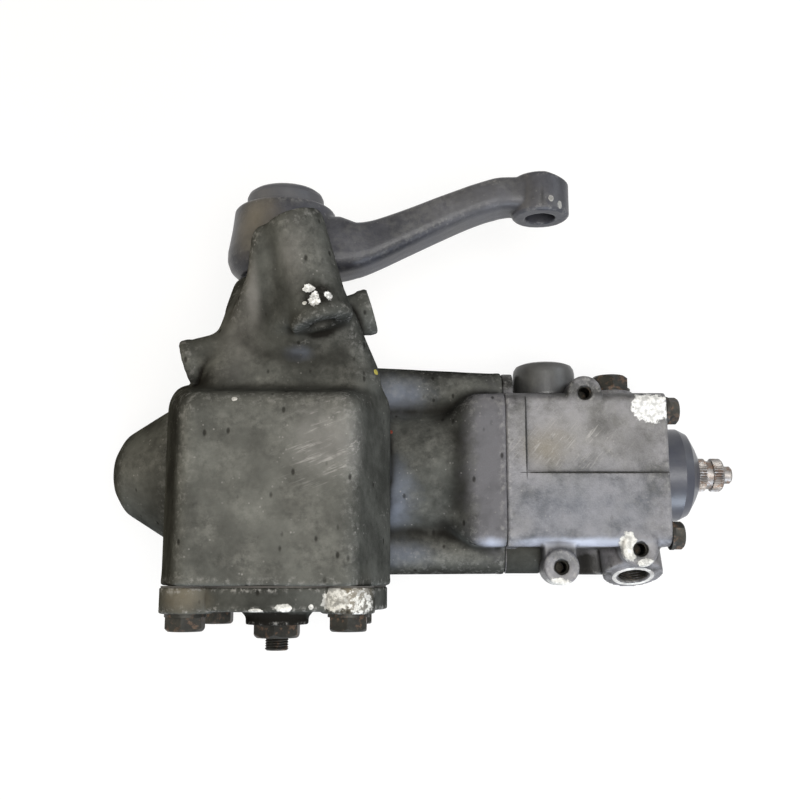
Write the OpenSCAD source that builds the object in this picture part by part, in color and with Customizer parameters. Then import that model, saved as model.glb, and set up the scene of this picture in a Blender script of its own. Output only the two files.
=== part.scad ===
// Recirculating-ball power steering gear: cast housing, rotary valve, ball screw, rack piston,
// toothed sector shaft and forged drop arm.
// X runs along the worm towards the input shaft, Y along the sector shaft towards the drop arm,
// Z away from the flat back that the gear lies on.

/* [Datum] */
// distance of the sector shaft axis to the left of the middle
sector_left = 76.5; // [70:0.5:85]
// distance of the worm axis below the middle
worm_low = 33.8; // [30:0.2:38]
// height of the worm axis above the flat back
worm_z = 42; // [41:0.5:48]

/* [Gear mesh] */
// pitch radius of the sector gear
sector_pitch_r = 34; // [32:0.5:36]
// distance of the rack pitch line from the worm axis
rack_offset = 22; // [21.5:0.25:24]
// teeth that a full sector circle would have
sector_teeth = 14; // [14:1:14]
// height of a tooth above the pitch line
tooth_addendum = 3.9; // [3.5:0.1:4.2]
// free space under a tooth tip
tip_clearance = 0.6; // [0.4:0.1:1]
// flank angle of the rack teeth
flank_angle = 25; // [22:0.5:26]
// free play of a tooth in its space
tooth_backlash = 0.7; // [0.6:0.05:1]
// face width of the sector gear
sector_face = 34; // [28:1:36]
// turns of the worm for one turn of the sector
steer_ratio = 14.5; // [14.5:0.5:14.5]
// largest swing of the sector to each side in degrees
swing_deg = 36; // [30:1:36]

/* [Housing] */
// half depth of the sector box from its axis to the front face
box_front = 56; // [54:0.5:58]
// width of the box at its front face
box_face_w = 89; // [84:1:94]
// width of the box where it is widest
box_wide_w = 115; // [110:1:118]
// upper edge of the box front below the middle
box_face_low = 3.6; // [2:0.2:5]
// upper edge of the box where it is widest
box_wide_top = 6.5; // [5:0.5:8]
// rounding of the box corners
box_round = 9; // [7:0.5:11]
// joint face between housing and side cover below the middle
seam_low = 96; // [94:0.5:98]
// radius of the space that the sector turns in
sector_room_r = 41; // [40:0.25:42]
// outer radius of the power cylinder
barrel_r = 40; // [39:0.25:41.5]
// bore radius of the power cylinder
cylinder_bore_r = 31.3; // [31:0.1:32]
// left end of the cylinder bore, left of the sector axis
cylinder_left = 65.5; // [64:0.5:68]
// radius of the conical end where it leaves the box
cone_base_r = 34.6; // [33:0.2:36]
// radius of the conical end at its nose
cone_nose_r = 16.5; // [15:0.5:18]
// left end of the nose from the middle
nose_left = 177.3; // [175:0.1:179]
// half width across the two side rails
rail_half = 56.5; // [55:0.5:58]
// radius of a side rail
rail_r = 11; // [9:0.5:12]
// growth of the upper rail towards the box
rail_swell = 4.4; // [3:0.2:5]
// half width of the valve flange and the valve block
flange_half = 42; // [41:0.5:42]
// corner rounding of the valve flange and the valve block
flange_round = 8; // [6:0.5:9]
// length of the flange on the main housing
flange_len = 18; // [16:0.5:20]
// joint face between housing and valve block from the middle
valve_seam_x = 43.6; // [42:0.2:46]
// flat pad length under the box
foot_len = 78; // [60:1:84]
// flat pad width under the box
foot_w = 58; // [50:1:62]

/* [Neck and mounts] */
// end face of the sector neck above the middle
neck_top = 64.6; // [63:0.2:65]
// radius of the neck at its end face
neck_r = 31.5; // [30:0.25:32]
// radius of the neck at the end under the drop arm
neck_end_r = 26; // [25.5:0.25:27]
// length of the neck's tapered end
neck_taper_len = 18; // [14:0.5:19]
// radius of the rounded edge of the web beside the column
web_r = 8; // [7:0.25:9]
// upper corner of the web: left of the sector axis, along it and in front of it
web_top = [4.6, 73.7, 48.4];
// middle corner of the web
web_mid = [6.2, 55.2, 40.6];
// lower corner of the web
web_low = [21.3, 22.4, 17.3];
// upper end of the right web, to the right of, above and in front of the middle
right_web_top = [26.3, 51.7, 42.6];
// lower end of the right web
right_web_low = [43.1, 9.4, 20.3];
// outer radius of the mounting column
column_r = 14.6; // [14:0.2:15.5]
// bore radius of the mounting column
column_bore_r = 6.5; // [6:0.25:7]
// length of the mounting column
column_len = 57; // [54:0.5:60]
// lean of the mounting column in degrees
column_lean = 16; // [12:0.5:18]
// distance of the column axis in front of the sector axis
column_front = 50; // [49.5:0.25:51]
// upper end of the column right of the sector axis
column_x = 9.8; // [9:0.2:10.4]
// upper end of the column above the middle
column_top = 83.5; // [82:0.5:85]
// outer radius of the two side lugs
lug_r = 12; // [11:0.25:12.5]
// tapped radius of the side lugs
lug_hole_r = 5.1; // [4.5:0.1:5.5]
// depth of the tapped lug holes
lug_depth = 22; // [16:0.5:23]
// distance over both lugs
lug_span = 99.7; // [97:0.5:102]
// lean of the lug line in degrees
lug_lean = 16.4; // [14:0.2:18]
// distance of the lugs in front of the sector axis
lug_front = 18; // [16:0.25:19]
// middle of the lugs right of the sector axis
lug_x = 0.25; // [0:0.25:2]
// middle of the lugs above the middle
lug_y = 30.2; // [29:0.2:31]

/* [Side cover] */
// thickness of the cover plate
cover_t = 11; // [10:0.25:12]
// thickness of the cover gasket
gasket_t = 0.8; // [0.5:0.1:1.2]
// radius of the round cover plate
cover_r = 56; // [54:0.5:57]
// radius of the four bolt bosses
cover_boss_r = 12.5; // [11:0.25:13]
// half distance of the cover bolts along the worm
cover_bolt_x = 38.4; // [37:0.2:40]
// half distance of the cover bolts from front to back
cover_bolt_z = 41; // [40:0.2:42]
// thread radius of the cover bolts
cover_bolt_r = 5; // [4:0.5:6]
// width across flats of the cover bolt heads
cover_bolt_af = 17; // [14:1:19]
// height of the cover bolt heads
cover_head_h = 6.6; // [5:0.2:8]
// reach of the cover bolts into the housing
cover_bolt_in = 20; // [16:1:24]
// radius of the tube in the cover that holds the bush
cover_tube_r = 27; // [25.5:0.25:28]
// reach of that tube into the sector room
cover_tube_in = 25; // [22:0.5:27]

/* [Adjusting screw] */
// thread radius of the adjusting screw
adjust_r = 6; // [5:0.25:7]
// radius of the head that sits in the sector shaft
adjust_head_r = 8.5; // [8:0.25:9]
// height of that head
adjust_head_h = 5; // [4:0.25:6]
// outer end of the adjusting screw below the middle
adjust_low = 128.4; // [126:0.2:130]
// width across flats of the lock nut
lock_nut_af = 22; // [19:1:24]
// height of the lock nut
lock_nut_h = 8.4; // [7:0.2:9]
// thickness of the sealing washer under it
lock_washer_t = 2; // [1:0.25:3]
// radius of the sealing washer
lock_washer_r = 13.2; // [12.5:0.25:14]

/* [Sector shaft] */
// radius of the sector shaft journals
shaft_r = 17.5; // [16.5:0.25:18]
// wall of the sector bushes
bush_wall = 3; // [2.5:0.25:3.25]
// running gap of a journal in its bush
run_gap = 0.05; // [0.02:0.01:0.09]
// gap between parts that pass each other without touching
free_gap = 0.4; // [0.3:0.05:0.6]
// gap of a part pushed into its seat
seat_gap = 0.02; // [0:0.01:0.04]
// length of the neck bush
neck_bush_len = 50; // [44:1:54]
// length of the cover bush
cover_bush_len = 24; // [18:1:25]
// radius of the taper for the drop arm at its wide end
taper_r = 16; // [15:0.25:16.5]
// narrowing of the taper radius over its length
taper_drop = 2; // [1:0.25:2.5]
// thread radius at the end of the sector shaft
shaft_thread_r = 12; // [10:0.5:13]
// width of the neck seal
neck_seal_t = 8; // [6:0.5:9]
// radial height of the neck seal
neck_seal_h = 6; // [5:0.25:6.5]

/* [Drop arm] */
// radius of the drop arm hub
hub_r = 30.4; // [29.6:0.2:31]
// lower face of the hub above the middle
hub_low = 65.9; // [65.4:0.1:66.4]
// height of the hub
hub_h = 38.4; // [37.4:0.2:40]
// hub to eye distance
arm_len = 139.3; // [134:0.5:144]
// radius of the eye
eye_r = 15.6; // [14.5:0.2:16]
// thickness of the eye
eye_h = 31; // [29:0.5:32]
// upper end of the eye above the middle
eye_top = 128.1; // [126:0.1:130]
// wide radius of the tapered eye hole
eye_hole_r = 8.2; // [7:0.2:9]
// narrow radius of the tapered eye hole
eye_hole_end_r = 6.6; // [6:0.2:7]
// width across flats of the drop arm nut
arm_nut_af = 32; // [30:1:32]
// height of the drop arm nut
arm_nut_h = 15; // [13:0.5:16]
// part of the nut that stands out of the hub
arm_nut_out = 6; // [5:0.5:8]
// radius of the pressed cap over the drop arm nut
nut_cap_r = 20.8; // [20.6:0.1:21.4]
// height of the pressed cap
nut_cap_h = 11.3; // [10.4:0.1:12]
// wall of the pressed cap
nut_cap_wall = 1.4; // [1.2:0.1:1.5]
// thickness of the lock plate under the nut
lock_plate_t = 1.5; // [1:0.25:2]

/* [Ball screw] */
// outer radius of the worm thread
worm_r = 13.2; // [12.8:0.1:13.4]
// radius of a ball
ball_r = 3; // [2.8:0.1:3.1]
// free space of a ball in its grooves
ball_gap = 0.35; // [0.3:0.05:0.45]
// radial gap between worm and nut lands
land_gap = 1; // [0.8:0.1:1.2]
// loaded turns of balls
ball_turns = 2; // [2:1:2]
// left end of the worm thread from the middle
worm_left = 66; // [65:0.5:68]
// right end of the worm thread from the middle
worm_right = 22; // [21:0.5:24]
// left end of the ball circuit from the middle
circuit_left = 36.5; // [36:0.25:37]

/* [Piston] */
// radius of the piston
piston_r = 31; // [30.5:0.1:31]
// reach of the piston to the left of the sector axis
piston_left = 40; // [39:0.5:41]
// reach of the piston to the right of the sector axis
piston_right = 81.5; // [80:0.5:82]
// end of the rack flat right of the sector axis
rack_flat_right = 42.5; // [42:0.25:43]
// width of the piston ring
ring_w = 3.5; // [2.5:0.25:4]
// radial height of the piston ring
ring_h = 2.6; // [2:0.1:3]
// inner radius of the ball return tube
return_bore_r = 3.2; // [3.1:0.05:3.4]
// wall of the ball return tube
return_wall = 0.8; // [0.6:0.05:1]

/* [Valve] */
// length of the valve block
valve_len = 87.9; // [84:0.5:90]
// length of the spigot in the cylinder bore
spigot_len = 15; // [12:0.5:15]
// bore radius for the valve sleeve
valve_bore_r = 22; // [21.5:0.1:22.5]
// outer radius of the valve sleeve
sleeve_r = 21; // [20.5:0.1:21.2]
// bore radius of the valve sleeve
sleeve_bore_r = 13.2; // [13:0.1:13.5]
// length of the valve sleeve
sleeve_len = 55; // [50:1:57]
// outer radius of the worm bearing
worm_bearing_r = 25; // [24:0.25:26]
// radius of the worm journal
worm_journal_r = 15; // [14:0.25:16]
// width of the worm bearing
worm_bearing_w = 12; // [10:0.5:13]
// half distance of the valve bolts
valve_bolt_half = 34; // [33:0.25:35]
// offset of the valve bolt square below the worm axis
valve_bolt_low = 2; // [1.5:0.25:2.5]
// thread radius of the valve bolts
valve_bolt_r = 4; // [3:0.5:4]
// width across flats of the valve bolt heads
valve_bolt_af = 13; // [11:1:14]
// height of the valve bolt heads
valve_head_h = 5.6; // [4.5:0.1:6.5]
// thickness of a plain washer
washer_t = 1.6; // [1:0.1:2]
// depth of the bracket holes
bracket_depth = 14; // [10:0.5:14]
// tapped radius of the bracket holes
bracket_hole_r = 3.4; // [3:0.1:3.6]
// radius of the bracket hole bosses
bracket_boss_r = 9.5; // [8.5:0.25:10]

/* [Ports and plugs] */
// radius of the pressure port boss
port_boss_r = 16.4; // [15:0.2:17]
// tapped radius of the pressure port
port_hole_r = 8.3; // [7:0.1:9]
// depth of the pressure port thread
port_depth = 12; // [10:0.5:12]
// lean of the pressure port towards the front in degrees
port_lean = 24; // [20:1:26]
// radius of the return port boss
return_boss_r = 13.5; // [12:0.25:14]
// tapped radius of the return port
return_hole_r = 7.3; // [6.5:0.1:8]
// radius of the round cap on the valve block
cap_r = 18; // [17:0.25:18.5]
// height of the round cap
cap_h = 11.2; // [10:0.2:13]
// stem radius of the round cap
cap_stem_r = 12; // [10:0.5:13]
// width across flats of the gallery plug
plug_af = 19; // [17:1:22]
// height of the gallery plug head
plug_h = 9.5; // [8:0.5:10]
// stem radius of the gallery plug
plug_stem_r = 7; // [6:0.25:8]

/* [Input shaft] */
// radius of the shaft part that turns in the sleeve
rotor_r = 12.8; // [12.5:0.05:12.85]
// radius of the input journal
input_journal_r = 11; // [10.5:0.25:11.5]
// radius over the input spline
spline_r = 9.5; // [9:0.1:10]
// end of the spline from the middle
spline_end = 171.4; // [170:0.2:173]
// end of the shaft tip from the middle
tip_end = 177.2; // [175:0.1:179]
// radius of the shaft tip
tip_r = 5; // [4.5:0.1:5.5]
// outer radius of the input bearing and the input seal
input_seat_r = 17; // [16:0.25:18]
// radius of the end boss of the valve block
end_boss_r = 23.5; // [22.5:0.25:24]
// length of the end boss
end_boss_len = 11.5; // [10:0.5:12]
// radius of the dust cap
dust_cap_r = 26.5; // [26:0.1:27]
// front of the dust cap from the middle
dust_cap_end = 155.8; // [154:0.2:158]
// radius of the torsion bar
bar_r = 4; // [3.5:0.1:4.2]
// radius of the pins that hold the torsion bar
pin_r = 1.6; // [1.4:0.1:1.8]

/* [Hidden] */
sector_x = -sector_left;
worm_y = -worm_low;
sector_z = worm_z + sector_pitch_r + rack_offset;
seam_y = -seam_low;
module_mm = 2 * sector_pitch_r / sector_teeth;
pitch_mm = PI * module_mm;
lead = 2 * PI * sector_pitch_r / steer_ratio;
travel = sector_pitch_r * swing_deg * PI / 180;
box_face_y = -box_face_low;
cover_in_y = seam_y - gasket_t;
cover_out_y = cover_in_y - cover_t;
boss_out_y = cover_out_y - 1;
nut_seat_y = cover_out_y - 4;
bush_r = shaft_r + run_gap + bush_wall;
room_top = -11;
neck_bush_low = room_top + 3;
seal_r = shaft_r + neck_seal_h;
seal_low = neck_top - 12;
shaft_low = seam_y - 0.5;
slot_deep = adjust_head_h + 5;
adjust_head_top = shaft_low + slot_deep - free_gap;
hub_top = hub_low + hub_h;
nut_low = hub_top + arm_nut_out - arm_nut_h;
plate_low = nut_low - lock_plate_t;
shaft_top = hub_top + arm_nut_out - 1.5;
eye_x = sector_x + arm_len;
eye_low = eye_top - eye_h;
ball_circle_r = worm_r + land_gap / 2;
nut_land_r = worm_r + land_gap;
circuit_x = -circuit_left;
circuit_len = ball_turns * lead;
piston_x0 = sector_x - piston_left;
piston_x1 = sector_x + piston_right;
ring_x = piston_x1 - 5;
return_out_r = return_bore_r + return_wall;
return_axis_r = piston_r - return_out_r - 1.5;
spigot_x = valve_seam_x - spigot_len;
valve_end = valve_seam_x + valve_len;
bearing_x = spigot_x + 1.5;
worm_head_x = bearing_x + worm_bearing_w + 0.6;
sleeve_x = worm_head_x + 14;
sleeve_end = sleeve_x + sleeve_len;
input_seat_x = valve_end - 13.5;
boss_end = valve_end + end_boss_len;
pad_z = worm_z + flange_half;
bolt_mid_y = worm_y - valve_bolt_low;
port_x = 114.6;
port_y = -91.6;
port_z = worm_z + 18;
return_x = 99;
return_y = -90.5;
return_z = worm_z - 6;
cap_x = 68.7;
cap_z = worm_z + 12;
cap_low = 16.9;
plug_x = 107.7;
plug_z = worm_z + 6;
plug_low = 13.3;
brackets = [[86.9, 7.2], [113.9, -77.4], [71.7, -86.7]];

// places its children on the worm axis, their Z along the worm
module on_worm() {
  translate([0, worm_y, worm_z])
    rotate([0, 90, 0])
      children();
}

// places its children on the sector axis, their Z along the sector shaft
module on_sector() {
  translate([sector_x, 0, sector_z])
    rotate([-90, 0, 0])
      children();
}

// round bar on the current Z axis between two heights
module rod(r, z0, z1) {
  translate([0, 0, z0])
    cylinder(r = r, h = z1 - z0, $fn = 96);
}

// tapered round bar on the current Z axis between two heights
module cone(r0, r1, z0, z1) {
  translate([0, 0, z0])
    cylinder(r1 = r0, r2 = r1, h = z1 - z0, $fn = 96);
}

// hexagon on the current Z axis between two heights, with its corners broken at the far end
module hex(af, z0, z1) {
  intersection() {
    translate([0, 0, z0])
      rotate([0, 0, 30])
        cylinder(r = af / sqrt(3), h = z1 - z0, $fn = 6);
    union() {
      rod(af, z0 - 1, z1 - af * 0.09);
      cone(af / sqrt(3) + 0.05, af * 0.47, z1 - af * 0.09 - 0.05, z1);
    }
  }
}

// round ring on the current Z axis
module ring(r_in, r_out, z0, z1) {
  difference() {
    rod(r_out, z0, z1);
    rod(r_in, z0 - 1, z1 + 1);
  }
}

// stands its children on the four cover bolt axes, Z pointing to the drop arm
module at_cover_bolts() {
  for (sx = [-1, 1], sz = [-1, 1])
    translate([sector_x + sx * cover_bolt_x, 0, sector_z + sz * cover_bolt_z])
      rotate([-90, 0, 0])
        children();
}

// lays its children on the four valve bolt axes, Z pointing to the input shaft
module at_valve_bolts() {
  for (sy = [-1, 1], sz = [-1, 1])
    translate([0, bolt_mid_y + sy * valve_bolt_half, worm_z + sz * valve_bolt_half])
      rotate([0, 90, 0])
        children();
}

// lays its children on the mounting column, Z pointing up the column
module on_column() {
  translate([sector_x + column_x, column_top, sector_z + column_front])
    rotate([0, 0, column_lean])
      rotate([-90, 0, 0])
        children();
}

// lays its children on the line of the two lugs, Z pointing to the right one
module on_lugs() {
  translate([sector_x + lug_x, lug_y, sector_z + lug_front])
    rotate([0, 0, lug_lean])
      rotate([0, 90, 0])
        children();
}

// lays its children on the pressure port, Z pointing out of it
module on_port() {
  translate([port_x, port_y, port_z])
    rotate([90 - port_lean, 0, 0])
      children();
}

// the square block round the sector, narrowing to its front and its back
module sector_box() {
  half_face = box_face_w / 2 - box_round;
  half_wide = box_wide_w / 2 - 12;
  difference() {
    hull() {
      for (sx = [-1, 1], sz = [-1, 1], y = [box_face_y - box_round, seam_y - 20])
        translate([sector_x + sx * half_face, y, sector_z + sz * (box_front - box_round)])
          sphere(r = box_round, $fn = 32);
      for (sx = [-1, 1], y = [box_wide_top - 12, seam_y - 20])
        translate([sector_x + sx * half_wide, y, sector_z - 12])
          cylinder(r = 12, h = 24, $fn = 32);
    }
    translate([sector_x - box_wide_w, seam_y - 60, sector_z - 2 * box_front])
      cube([2 * box_wide_w, 60, 4 * box_front]);
  }
}

// cast main housing with cylinder, sector box, neck and mounting lugs
module housing() {
  color([0.13, 0.13, 0.135])
    difference() {
      union() {
        sector_box();
        on_worm() {
          rod(barrel_r, sector_x - cylinder_left, valve_seam_x - 6);
          cone(cone_base_r, barrel_r, -151, sector_x - cylinder_left);
          cone(cone_nose_r + 6, cone_base_r, -170.5, -151);
          cone(cone_nose_r, cone_nose_r + 6, 3.2 - nose_left, -170.5);
          cone(cone_nose_r - 5, cone_nose_r, -nose_left, 3.2 - nose_left);
        }
        flange_block();
        side_rails();
        neck_casting();
        on_lugs() {
          rod(lug_r - 0.8, 4 - lug_span / 2, lug_span / 2 - 4);
          rod(lug_r, -lug_span / 2, 5 - lug_span / 2);
          rod(lug_r, lug_span / 2 - 5, lug_span / 2);
        }
        translate([sector_x - foot_len / 2, worm_y - foot_w / 2, 0])
          cube([foot_len, foot_w, worm_z]);
      }
      on_worm() {
        rod(cylinder_bore_r, sector_x - cylinder_left, valve_seam_x + 1);
        cone(12, cylinder_bore_r - 5, -164, sector_x - cylinder_left + 0.01);
      }
      on_sector() {
        rod(sector_room_r, seam_y - 1, room_top);
        rod(bush_r + seat_gap, room_top - 1, neck_top + 1);
        rod(seal_r + seat_gap, seal_low, neck_top + 1);
        rod(seal_r + 1.5, seal_low + neck_seal_t + 0.4, seal_low + neck_seal_t + 2.2);
      }
      on_column()
        rod(column_bore_r, -column_len - 30, 1);
      on_column()
        rod(column_r - 2.5, -column_len - 30, -column_len);
      on_lugs() {
        rod(lug_hole_r, -lug_span / 2 - 1, lug_depth - lug_span / 2);
        rod(lug_hole_r, lug_span / 2 - lug_depth, lug_span / 2 + 1);
      }
      at_cover_bolts()
        rod(cover_bolt_r + seat_gap, seam_y - 1, seam_y + cover_bolt_in + 2);
      at_valve_bolts()
        rod(valve_bolt_r + seat_gap, valve_seam_x - 18, valve_seam_x + 1);
    }
}

// valve flange of the main housing, sloping down to the cylinder
module flange_block() {
  corner = flange_half - flange_round;
  hull() {
    for (sy = [-1, 1], sz = [-1, 1])
      translate([valve_seam_x - flange_len, worm_y + sy * corner, worm_z + sz * corner])
        rotate([0, 90, 0])
          cylinder(r = flange_round, h = flange_len, $fn = 32);
    for (sy = [-1, 1], sz = [-1, 1])
      translate([valve_seam_x - flange_len - 14, worm_y + sy * (corner - 10), worm_z + sz * (corner - 10)])
        rotate([0, 90, 0])
          cylinder(r = flange_round, h = 1, $fn = 32);
  }
}

// the two oil gallery rails beside the cylinder
module side_rails() {
  for (sy = [-1, 1])
    translate([sector_x + 30, worm_y + sy * (rail_half - rail_r), worm_z + 16])
      rotate([0, 90, 0])
        cone(rail_r + (sy > 0 ? rail_swell : 0.6), rail_r, 0, valve_seam_x - sector_x - 30);
  translate([sector_x + 30, worm_y - rail_half + rail_r, worm_z + 8])
    cube([valve_seam_x - sector_x - 30, 2 * (rail_half - rail_r), 15]);
}

// sector neck with its flare down to the box and the buttress up to the mounting column
module neck_casting() {
  on_sector() {
    rod(neck_r, -14, neck_top - neck_taper_len);
    cone(neck_r, neck_end_r, neck_top - neck_taper_len, neck_top);
  }
  hull() {
    for (z = [-9.4, 13.8])
      for (x = [-14, 15])
        translate([sector_x + x, 48, sector_z + z])
          sphere(r = 13, $fn = 32);
    for (z = [-9.6, 20.2])
      for (x = [-22.4, 36.3])
        translate([sector_x + x, 3.6, sector_z + z])
          sphere(r = 17, $fn = 32);
  }
  hull() {
    on_column()
      translate([0, 0, 7 - column_len])
        cylinder(r = column_r - 0.9, h = column_len * 0.5, $fn = 32);
    on_sector()
      translate([0, 0, 21])
        cylinder(r = neck_r - 1.7, h = 23, $fn = 32);
  }
  hull() {
    translate([sector_x - web_top[0], web_top[1], sector_z + web_top[2]])
      sphere(r = web_r - 1.3, $fn = 32);
    translate([sector_x - web_mid[0], web_mid[1], sector_z + web_mid[2]])
      sphere(r = web_r, $fn = 32);
    translate([sector_x + 10.6, 50, sector_z + 47.2])
      sphere(r = web_r, $fn = 32);
  }
  hull() {
    translate([sector_x - web_mid[0], web_mid[1], sector_z + web_mid[2]])
      sphere(r = web_r, $fn = 32);
    translate([sector_x - web_low[0], web_low[1], sector_z + web_low[2]])
      sphere(r = web_r + 2.4, $fn = 32);
    translate([sector_x + 13.3, 29.3, sector_z + 33.4])
      sphere(r = web_r + 4.2, $fn = 32);
  }
  hull() {
    translate([sector_x + right_web_top[0], right_web_top[1], sector_z + right_web_top[2]])
      sphere(r = web_r - 0.7, $fn = 32);
    translate([sector_x + right_web_low[0], right_web_low[1], sector_z + right_web_low[2]])
      sphere(r = web_r + 1.6, $fn = 32);
    translate([sector_x + 17.7, 20.6, sector_z + 22.9])
      sphere(r = web_r + 5.3, $fn = 32);
  }
  on_column() {
    rod(column_r, 3 - column_len, 0);
    rod(column_r + 1, -column_len, 5 - column_len);
  }
}

// square face plate with four bolt bosses, a tube for the bush and a boss for the adjusting screw
module side_cover() {
  color([0.17, 0.165, 0.16])
    difference() {
      union() {
        on_sector() {
          rod(cover_r, cover_out_y, cover_in_y);
          rod(sector_room_r - free_gap, cover_in_y - 1, cover_in_y + 7);
          rod(cover_tube_r, cover_in_y - 1, cover_in_y + cover_tube_in);
          cone(adjust_r + 10, adjust_r + 14, nut_seat_y, cover_out_y + 0.5);
        }
        at_cover_bolts()
          rod(cover_boss_r, boss_out_y, cover_in_y);
      }
      on_sector() {
        rod(bush_r + seat_gap, cover_in_y - 2, cover_in_y + cover_tube_in + 1);
        rod(adjust_r + seat_gap, nut_seat_y - 1, cover_in_y);
      }
      at_cover_bolts()
        rod(cover_bolt_r + 0.5, boss_out_y - 1, cover_in_y + 1);
    }
}

// flat gasket between housing and side cover
module cover_gasket() {
  color([0.35, 0.32, 0.27])
    difference() {
      union() {
        on_sector()
          rod(cover_r - 0.6, cover_in_y, seam_y);
        at_cover_bolts()
          rod(cover_boss_r - 0.6, cover_in_y, seam_y);
      }
      on_sector()
        rod(sector_room_r, cover_in_y - 1, seam_y + 1);
      at_cover_bolts()
        rod(cover_bolt_r + 0.5, cover_in_y - 1, seam_y + 1);
    }
}

// four hexagon bolts of the side cover
module cover_bolts() {
  color([0.12, 0.12, 0.12])
    at_cover_bolts() {
      rod(cover_bolt_r, boss_out_y - washer_t - 1, seam_y + cover_bolt_in);
      rotate([180, 0, 0])
        hex(cover_bolt_af, washer_t - boss_out_y, washer_t - boss_out_y + cover_head_h);
    }
}

// washers of the cover bolts
module cover_washers() {
  color([0.2, 0.19, 0.18])
    at_cover_bolts()
      ring(cover_bolt_r + 0.2, cover_bolt_af * 0.58, boss_out_y - washer_t, boss_out_y);
}

// adjusting screw with a round head in the sector shaft and a slot at its outer end
module adjusting_screw() {
  color([0.3, 0.3, 0.3])
    difference() {
      on_sector() {
        rod(adjust_r, -adjust_low, adjust_head_top - 1);
        rod(adjust_head_r, adjust_head_top - adjust_head_h, adjust_head_top);
      }
      translate([sector_x - 20, -adjust_low - 1, sector_z - 1])
        cube([40, 4, 2]);
    }
}

// lock nut of the adjusting screw
module lock_nut() {
  color([0.14, 0.14, 0.14])
    difference() {
      on_sector()
        rotate([180, 0, 0])
          hex(lock_nut_af, lock_washer_t - nut_seat_y, lock_washer_t - nut_seat_y + lock_nut_h);
      on_sector()
        rod(adjust_r + seat_gap, -adjust_low, nut_seat_y);
    }
}

// sealing washer under the lock nut
module lock_washer() {
  color([0.16, 0.155, 0.15])
    on_sector()
      ring(adjust_r + 0.2, lock_washer_r, nut_seat_y - lock_washer_t, nut_seat_y);
}

// plain bush for the sector shaft in the neck
module neck_bush() {
  color([0.62, 0.5, 0.3])
    on_sector()
      ring(shaft_r + run_gap, bush_r, neck_bush_low, neck_bush_low + neck_bush_len);
}

// plain bush for the sector shaft in the side cover
module cover_bush() {
  color([0.62, 0.5, 0.3])
    on_sector()
      ring(shaft_r + run_gap, bush_r, cover_in_y, cover_in_y + cover_bush_len);
}

// shaft seal at the end of the neck
module neck_seal() {
  color([0.07, 0.07, 0.07])
    on_sector()
      difference() {
        ring(shaft_r + free_gap, seal_r, seal_low, seal_low + neck_seal_t);
        ring(shaft_r + 1.5, seal_r - 1.5, seal_low - 1, seal_low + neck_seal_t - 2);
      }
}

// circlip that holds the neck seal
module seal_circlip() {
  color([0.28, 0.28, 0.29])
    on_sector()
      difference() {
        ring(seal_r - 2.5, seal_r + 1.2, seal_low + neck_seal_t + 0.5, seal_low + neck_seal_t + 2.1);
        translate([0, seal_r, seal_low + neck_seal_t + 1])
          cube([9, 12, 6], center = true);
      }
}

// involute of an angle in degrees
function involute(a) = tan(a) * 180 / PI - a;

// half the tooth angle of the sector at a radius
function tooth_half(r) =
  90 / sector_teeth
  - tooth_backlash / 4 / sector_pitch_r * 180 / PI
  + involute(flank_angle)
  - involute(acos(min(1, sector_pitch_r * cos(flank_angle) / r)));

// point of the sector outline at an angle from the middle tooth
function sector_point(r, a) = [r * sin(a), -r * cos(a)];

// outline of the five sector teeth, drawn towards the worm
module sector_outline() {
  root = sector_pitch_r - tooth_addendum - tip_clearance;
  tip = sector_pitch_r + tooth_addendum;
  step = 360 / sector_teeth;
  flank = [for (i = [0 : 6]) root + (tip - root) * i / 6];
  teeth = [for (k = [-2 : 2]) each concat(
    [for (r = flank) sector_point(r, k * step - tooth_half(r))],
    [for (i = [6 : -1 : 0]) sector_point(flank[i], k * step + tooth_half(flank[i]))])];
  polygon(concat([[0, 0]], teeth));
}

// sector shaft with journals, five involute teeth, slot for the adjusting screw, taper and thread
module sector_shaft() {
  color([0.5, 0.49, 0.47])
    difference() {
      union() {
        on_sector() {
          rod(shaft_r, shaft_low, neck_top - 3);
          rod(shaft_r + 5, worm_y - sector_face / 2, worm_y + sector_face / 2);
          cone(taper_r, taper_r - taper_drop, neck_top - 3.5, plate_low - 3);
          rod(shaft_thread_r, plate_low - 4, shaft_top);
        }
        translate([sector_x, worm_y + sector_face / 2, sector_z])
          rotate([90, 0, 0])
            linear_extrude(height = sector_face)
              sector_outline();
      }
      translate([sector_x - 30, shaft_low - 1, sector_z - adjust_r - free_gap])
        cube([60, slot_deep, 2 * (adjust_r + free_gap)]);
      translate([sector_x - 30, adjust_head_top + free_gap, sector_z - adjust_head_r - free_gap])
        mirror([0, 1, 0])
          cube([60, adjust_head_h + 2 * free_gap, 2 * (adjust_head_r + free_gap)]);
    }
}

// arm stations from hub to eye: part of the arm length, middle height, half thickness and half width
arm_stations = [
  [0.06, 83.2, 15.8, 18],
  [0.225, 83.4, 15.6, 17],
  [0.292, 83.9, 14.7, 15.6],
  [0.351, 86, 14.1, 14.8],
  [0.477, 93.2, 13, 14],
  [0.591, 100.3, 12.3, 13.6],
  [0.72, 108, 11.6, 13],
  [0.822, 113.4, 11.8, 12.6],
  [0.894, 114.2, 12.8, 12.4],
  [1, 112.6, 14.6, 13]];

// slope of one column of the arm stations at a station
function arm_slope(c, i) =
  let (a = max(0, i - 1), b = min(len(arm_stations) - 1, i + 1))
  (arm_stations[b][c] - arm_stations[a][c]) / (arm_stations[b][0] - arm_stations[a][0]);

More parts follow.
